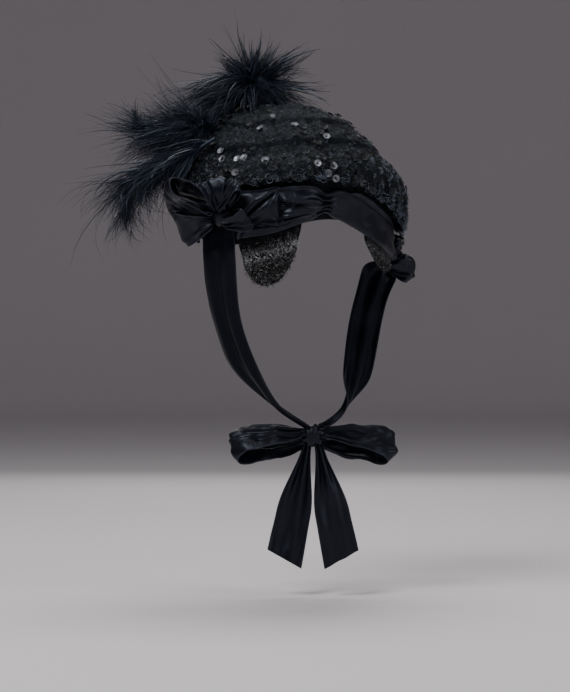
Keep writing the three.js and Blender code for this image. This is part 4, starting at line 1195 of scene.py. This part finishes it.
def front_edging():
    """A ruched strip along the front rim, with rows of jet beads over it."""
    stretch = 360 - 2 * EDGING_START
    along = along_steps(500)
    turn = turns(14)[:, None]
    ruche = 1 + 0.16 * np.sin(2 * np.pi * 120 * along + 2 * np.cos(turn))
    half = EDGING_WIDTH / 2
    share = 1 + (half + half * 0.92 * np.cos(turn) * ruche * 0.94) / CROWN_DEPTH
    lift = -EDGING_WALL / 2 + CLEARANCE + EDGING_WALL / 2 * np.sin(turn) * ruche
    strip = on_crown(EDGING_START + stretch * along, share, lift)
    edging = shape("ruched_edging", strip, grid_faces(14, 500, closed=True), VELVET)
    worn_piece(closed_poles(edging), "beading", "front_edging")
    rng = np.random.default_rng(50)
    rows, count = 5, 250
    azimuth = EDGING_START + stretch * (np.arange(count) + 0.5) / count + rng.normal(0, 0.15, (rows, count))
    down = (np.arange(rows)[:, None] + 0.5) / rows + rng.normal(0, 0.03, (rows, count))
    share = 1 + EDGING_WIDTH * down / CROWN_DEPTH
    bulge = np.sqrt(np.maximum(1 - (2 * down - 1) ** 2, 0))
    places = on_crown(azimuth, share, CLEARANCE - EDGING_WALL / 2 + (EDGING_WALL / 2 + 0.6 * MM) * bulge)
    places = places.reshape(-1, 3)
    out = crown_normal(azimuth, share).reshape(-1, 3)
    ways = frames_round(tilted(rng, out, 0.4), rng.uniform(0, 6, len(places)))
    beads = shape("jet_bead_rows", *scattered(places, ways, *bead_pattern(0.72 * MM)), JET)
    worn_piece(beads, "beading")


# Plumes


def spline(rows, length, t):
    """A curve through rows of side, back and up, as shares of a plume's length, with mean slopes."""
    knots = np.array([FAN_SIDE * s + FAN_BACK * b + UP * u for s, b, u in rows]) * length
    p = np.concatenate([[2 * knots[0] - knots[1]], knots, [2 * knots[-1] - knots[-2]]])
    x = np.asarray(t, float) * (len(knots) - 1)
    i = np.clip(np.floor(x).astype(int), 0, len(knots) - 2)
    a, b, c, d = (p[i + k] for k in range(4))
    return cubic((x - i)[..., None], b, c, (c - a) / 2, (d - b) / 2)


def quill_seat(azimuth, share, way):
    """Where a quill's round end just clears the covered crown."""
    slant = np.sum(crown_normal(azimuth, share) * unit(way))
    lift = tier_lift(share) + SEAM_GAP + QUILL_RADIUS * math.sqrt(1 - slant**2)
    return on_crown(azimuth, share, lift)


LONE_BARBS = 3


def feather(name, node, tufts, width, seed, closing=0.5, fuzz=2, fuzz_length=2.4 * MM):
    """A plume's barbs in pointed tufts. A tuft's barbs share its curve: they swell out round it within its
    first third, close towards its tip, and end at different shares of it. Each has a fringe of barbules, and
    the barbs of a tuft with fewer than three are coarser."""
    rng = np.random.default_rng(seed)
    *strands, barbs, spread = tufts
    curves, _ = strand_paths(*strands)
    k = np.repeat(np.arange(len(curves)), barbs)
    n = len(k)
    s = np.linspace(0, 1, 9)[None, :, None]
    root = curves[k, :1]
    reach = rng.uniform(0.55, 1.06, n)[:, None, None]
    off = rng.normal(size=(n, 1, 3)) * spread[k][:, None, None]
    stray = rng.normal(size=(n, 1, 3)) * (strands[3][k] * 0.12 * (1 - closing))[:, None, None]
    paths = root + (curves[k] - root) * reach + off * smooth(s / 0.35) * (1 - closing * s) + stray * s**3
    headings = unit(np.gradient(paths, axis=1))
    coarse = np.where(barbs[k] < LONE_BARBS, 1.9, 1.0)
    widths = width * coarse * rng.uniform(0.5, 1.2, n)
    strip, faces, along = strand_strips(paths, headings, widths, rng.uniform(0, 3.1, n))
    tone = rng.uniform(0, 1, n) * rng.uniform(0.3, 1, len(curves))[k]
    barb_tone = np.broadcast_to(tone[:, None, None], along.shape)
    barb = np.repeat(np.arange(n), fuzz)
    m = len(barb)
    at = rng.uniform(0.15, 0.97, m) * 8
    i = np.minimum(at.astype(int), 7)
    f = (at - i)[:, None]
    foot = paths[barb, i] * (1 - f) + paths[barb, i + 1] * f
    forward = headings[barb, i]
    sway = unit(np.cross(forward, rng.normal(size=forward.shape)))
    hair_ways = unit(forward * 0.8 + sway * 0.6)
    hair_length = fuzz_length * rng.uniform(0.5, 1.2, m) * (1.15 - at / 8 * 0.7)
    hairs = strand_paths(foot, hair_ways, forward + 0.3 * sway, hair_length, 0.6, 0, 3)
    hair, hair_faces, _ = strand_strips(*hairs, rng.uniform(0.14, 0.26, m) * MM, rng.uniform(0, 3.1, m))
    points = np.concatenate([strip, hair])
    all_faces = np.concatenate([faces, hair_faces + len(strip)])
    hair_tip = np.repeat(0.25 + 0.75 * (at / 8) ** 2, 6)
    hair_tone = np.repeat(tone[barb] * rng.uniform(0.5, 1.2, m), 6)
    tone = np.concatenate([barb_tone.ravel(), hair_tone])
    tip = np.concatenate([along.ravel() ** 2, hair_tip])
    worn_piece(shape(name, points, all_faces, BARB, tone=tone, tip=tip), "feather", node)


def joined_tufts(*groups):
    """One set of tufts from several."""
    return [np.concatenate(column) for column in zip(*groups)]


def tufts_of(roots, ways, bends, lengths, droop, curl, barbs, spread):
    """A group of tufts: whatever holds for all of them may be given once."""
    n = len(ways)
    roots = np.broadcast_to(roots, (n, 3))
    return roots, unit(ways), bends, lengths, droop, curl, np.full(n, barbs), np.full(n, spread)


def quill(name, points, thick, thin):
    """A plume's shaft: a round stem that tapers from a thick radius to a thin one, in millimetres."""
    skin, faces = tubes(points[None], np.linspace(thick, thin, len(points))[None] * MM, 10)
    worn_piece(shape(name, skin, faces, BARB, tone=0.3, tip=0.2), "feather")


TOP_SEAT = (135, 0.2)
TOP_FAN = columns(
    "azimuth mass wisp",
    (-180, 60, 80), (-150, 66, 84), (-120, 50, 60), (-90, 44, 50), (-60, 56, 70), (-30, 58, 78),
    (0, 48, 74), (45, 40, 60), (90, 37, 50), (120, 42, 56), (150, 58, 70),
)
LONG_WISPS = columns("angle length", (63, 84), (67, 88), (71, 76), (100, 62), (12, 82), (-172, 84))


def fan_way(angle, depth):
    """A way in the camera's plane at an angle from the wearer's left, leaning out of it by a depth."""
    a = np.radians(angle)[:, None]
    return unit(FAN_SIDE * np.cos(a) + UP * np.sin(a) + FAN_BACK * depth[:, None])


def top_plume():
    """Pointed tufts all round a short quill, whose lengths follow their angle in the fan's plane. Others
    fall over the crown on every side, and a few long wisps reach past them all."""
    rng = np.random.default_rng(71)
    base = quill_seat(*TOP_SEAT, UP)
    head = base + UP * TOP_PLUME_REACH * 0.36
    n = 150
    angle = rng.uniform(-45, 225, n)
    depth = rng.normal(0, 0.55, n)
    flat = 1 / np.sqrt(1 + depth**2)
    mass = (round_table(TOP_FAN, "mass", angle) * 1.06 * flat + 46 * (1 - flat)) * MM
    fan = tufts_of(
        head + rng.normal(0, 2.5 * MM, (n, 3)) - UP * rng.uniform(0, 8 * MM, (n, 1)),
        fan_way(angle, depth),
        rng.normal(0, 0.7, (n, 3)) - UP,
        mass * rng.uniform(0.72, 1.12, n),
        rng.uniform(-0.1, 0.5, n), rng.uniform(-0.5, 0.9, n), 16, 3.0 * MM,
    )
    n = 130
    turn = np.concatenate([rng.uniform(0, 2 * np.pi, n - 40), rng.uniform(-0.7, 0.9, 40)])
    side = np.cos(turn)[:, None]
    level = FAN_SIDE * side + FAN_BACK * np.sin(turn)[:, None]
    falling = tufts_of(
        head + rng.normal(0, 2 * MM, (n, 3)) - (head - base) * rng.uniform(0, 0.9, (n, 1)),
        level + UP * rng.uniform(-0.1, 0.5, (n, 1)),
        level * 0.2 - UP,
        (58 + 24 * side[:, 0]) * rng.uniform(0.7, 1.12, n) * MM,
        rng.uniform(0.6, 1.3, n), rng.uniform(-0.3, 0.6, n), 14, 3.2 * MM,
    )
    n = 34
    angle = rng.uniform(-200, 170, n)
    length = round_table(TOP_FAN, "wisp", angle) * rng.uniform(0.8, 1.05, n)
    angle = np.concatenate([angle, LONG_WISPS["angle"]])
    length = np.concatenate([length, LONG_WISPS["length"]])
    n = len(angle)
    ways, bends = fan_way(angle, rng.normal(0, 0.25, n)), rng.normal(0, 0.8, (n, 3)) - UP
    droop, curl = rng.uniform(0, 0.35, n), rng.uniform(-0.5, 0.6, n)
    wisps = tufts_of(head, ways, bends, length * MM, droop, curl, 2, 0.8 * MM)
    feather("plume_top_barbs", "plume_top", joined_tufts(fan, falling, wisps), 0.75 * MM, 72, closing=0.8)
    quill("plume_top_quill", base + (head - base) * down_steps(8), 2.2, 1.4)


UPPER_SEAT = (90, 0.47)
LOWER_SEAT = (74, 0.52)
UPPER_SPINE = ((0, 0, 0), (0.28, -0.08, 0.03), (0.56, -0.16, -0.02), (0.82, -0.22, 0.12))
LOWER_SPINE = ((0, 0, 0), (0.27, 0.04, -0.17), (0.48, 0.04, -0.3), (0.58, 0.02, -0.47))


def spine_of(seat, rows, length, t):
    """Places and headings along a side plume's shaft, from its seat on the crown."""
    way = spline(rows, length, np.array([1 / 6]))[0]
    base = quill_seat(*seat, way)
    ahead = spline(rows, length, np.minimum(t + 0.01, 1)) - spline(rows, length, np.maximum(t - 0.01, 0))
    return base + spline(rows, length, t), unit(ahead)


def spine_tufts(rng, spine, count, foot, splay, upper, reach, droop, curl, barbs, spread):
    """Tufts off a shaft within a stretch of it, splayed from it by angles, an upper share of them above."""
    t = rng.uniform(*foot, count)
    roots, ahead = spine_of(*spine, t)
    rise = square_to(UP, ahead)
    flank = np.where(rng.uniform(0, 1, count) < upper, 1.0, -1.0)
    around = rng.normal(0, 0.7, count)
    off = rise * (flank * np.cos(around))[:, None] + np.cross(ahead, rise) * np.sin(around)[:, None]
    angle = np.radians(rng.uniform(*splay, count))[:, None]
    ways, bends = ahead * np.cos(angle) + off * np.sin(angle), rng.normal(0, 0.3, (count, 3)) - UP
    lengths, droop, curl = (rng.uniform(*span, count) for span in (reach, droop, curl))
    return tufts_of(roots, ways, bends, lengths * MM, droop, curl, barbs, spread * MM)


def side_plume(name, node, spine, seed, rows):
    """A plume with groups of tufts off its shaft, by the rows of a table."""
    rng = np.random.default_rng(seed)
    tufts = joined_tufts(*[spine_tufts(rng, spine, *row) for row in rows])
    feather(f"{name}_barbs", node, tufts, 0.62 * MM, seed + 1, closing=0.1, fuzz=1, fuzz_length=1.6 * MM)
    quill(f"{name}_quill", spine_of(*spine, np.linspace(0, 1, 24))[0], 1.6, 0.5)


# Groups of tufts on a side plume. Each row gives a count, the shares of the shaft, splays in degrees, the
# share above it, reaches in millimetres, droops and curls in radians, barbs in a tuft and its spread.
UPPER_TUFTS = (
    (64, (0.0, 0.8), (4, 26), 0.5, (34, 56), (-0.2, 0.4), (-0.2, 0.8), 15, 3.4),
    (20, (0.5, 1.0), (25, 60), 0.9, (12, 22), (-0.6, 0.1), (-1.4, 0.4), 11, 1.6),
    (64, (0.0, 0.4), (12, 52), 0.1, (46, 80), (-0.2, 0.3), (0.0, 0.9), 15, 3.8),
    (30, (0.0, 0.3), (30, 80), 0.9, (24, 44), (0.2, 1.0), (-0.6, 0.8), 14, 3.2),
    (44, (0.0, 0.12), (50, 125), 0.5, (20, 34), (0.3, 1.2), (-0.3, 0.8), 14, 3.4),
    (12, (0.0, 1.0), (10, 50), 0.4, (40, 60), (-0.3, 0.3), (-0.4, 0.9), 2, 0.8),
)
LOWER_TUFTS = (
    (50, (0.0, 0.55), (4, 30), 0.85, (56, 84), (-0.2, 0.3), (0.4, 1.5), 15, 3.4),
    (40, (0.3, 1.0), (8, 36), 0.5, (28, 48), (0.1, 0.7), (0.2, 1.6), 14, 2.8),
    (18, (0.3, 0.8), (40, 75), 0.1, (14, 26), (0.2, 0.8), (0.0, 1.2), 8, 1.4),
    (56, (0.0, 0.5), (2, 40), 0.85, (76, 100), (0.0, 0.7), (0.9, 2.1), 2, 1.6),
)


crown_piece()
flounce_piece()
sequins()
lace_loops()
ragged_edge()
satin_band()
satin_underlay()
satin_puff()
for tie_name, tie_form in TIES.items():
    tie(tie_name, *tie_form)
bow("bow", BOW_AZIMUTH, BOW_SHARE, BOW_SHARE, KNOT_RADIUS, BOW_KNOT_HEIGHT, BOW_LOOPS, 1)
rosette_ways = bow(
    "rosette", RIGHT_TIE_AZIMUTH, ROSETTE_SHARE, 1.0, ROSETTE_KNOT_RADIUS, ROSETTE_KNOT_HEIGHT, ROSETTE_LOOPS, -1
)
rosette_standing_loop(*rosette_ways)
chin_bow()
for tab_name, tab_side in (("left", 1), ("right", -1)):
    nape_tab(tab_name, tab_side, TAB_DROPS[tab_name])
front_edging()
top_plume()
side_plume("plume_upper", "plume_side_upper", (UPPER_SEAT, UPPER_SPINE, UPPER_PLUME_LENGTH), 81, UPPER_TUFTS)
side_plume("plume_lower", "plume_side_lower", (LOWER_SEAT, LOWER_SPINE, LOWER_PLUME_LENGTH), 91, LOWER_TUFTS)
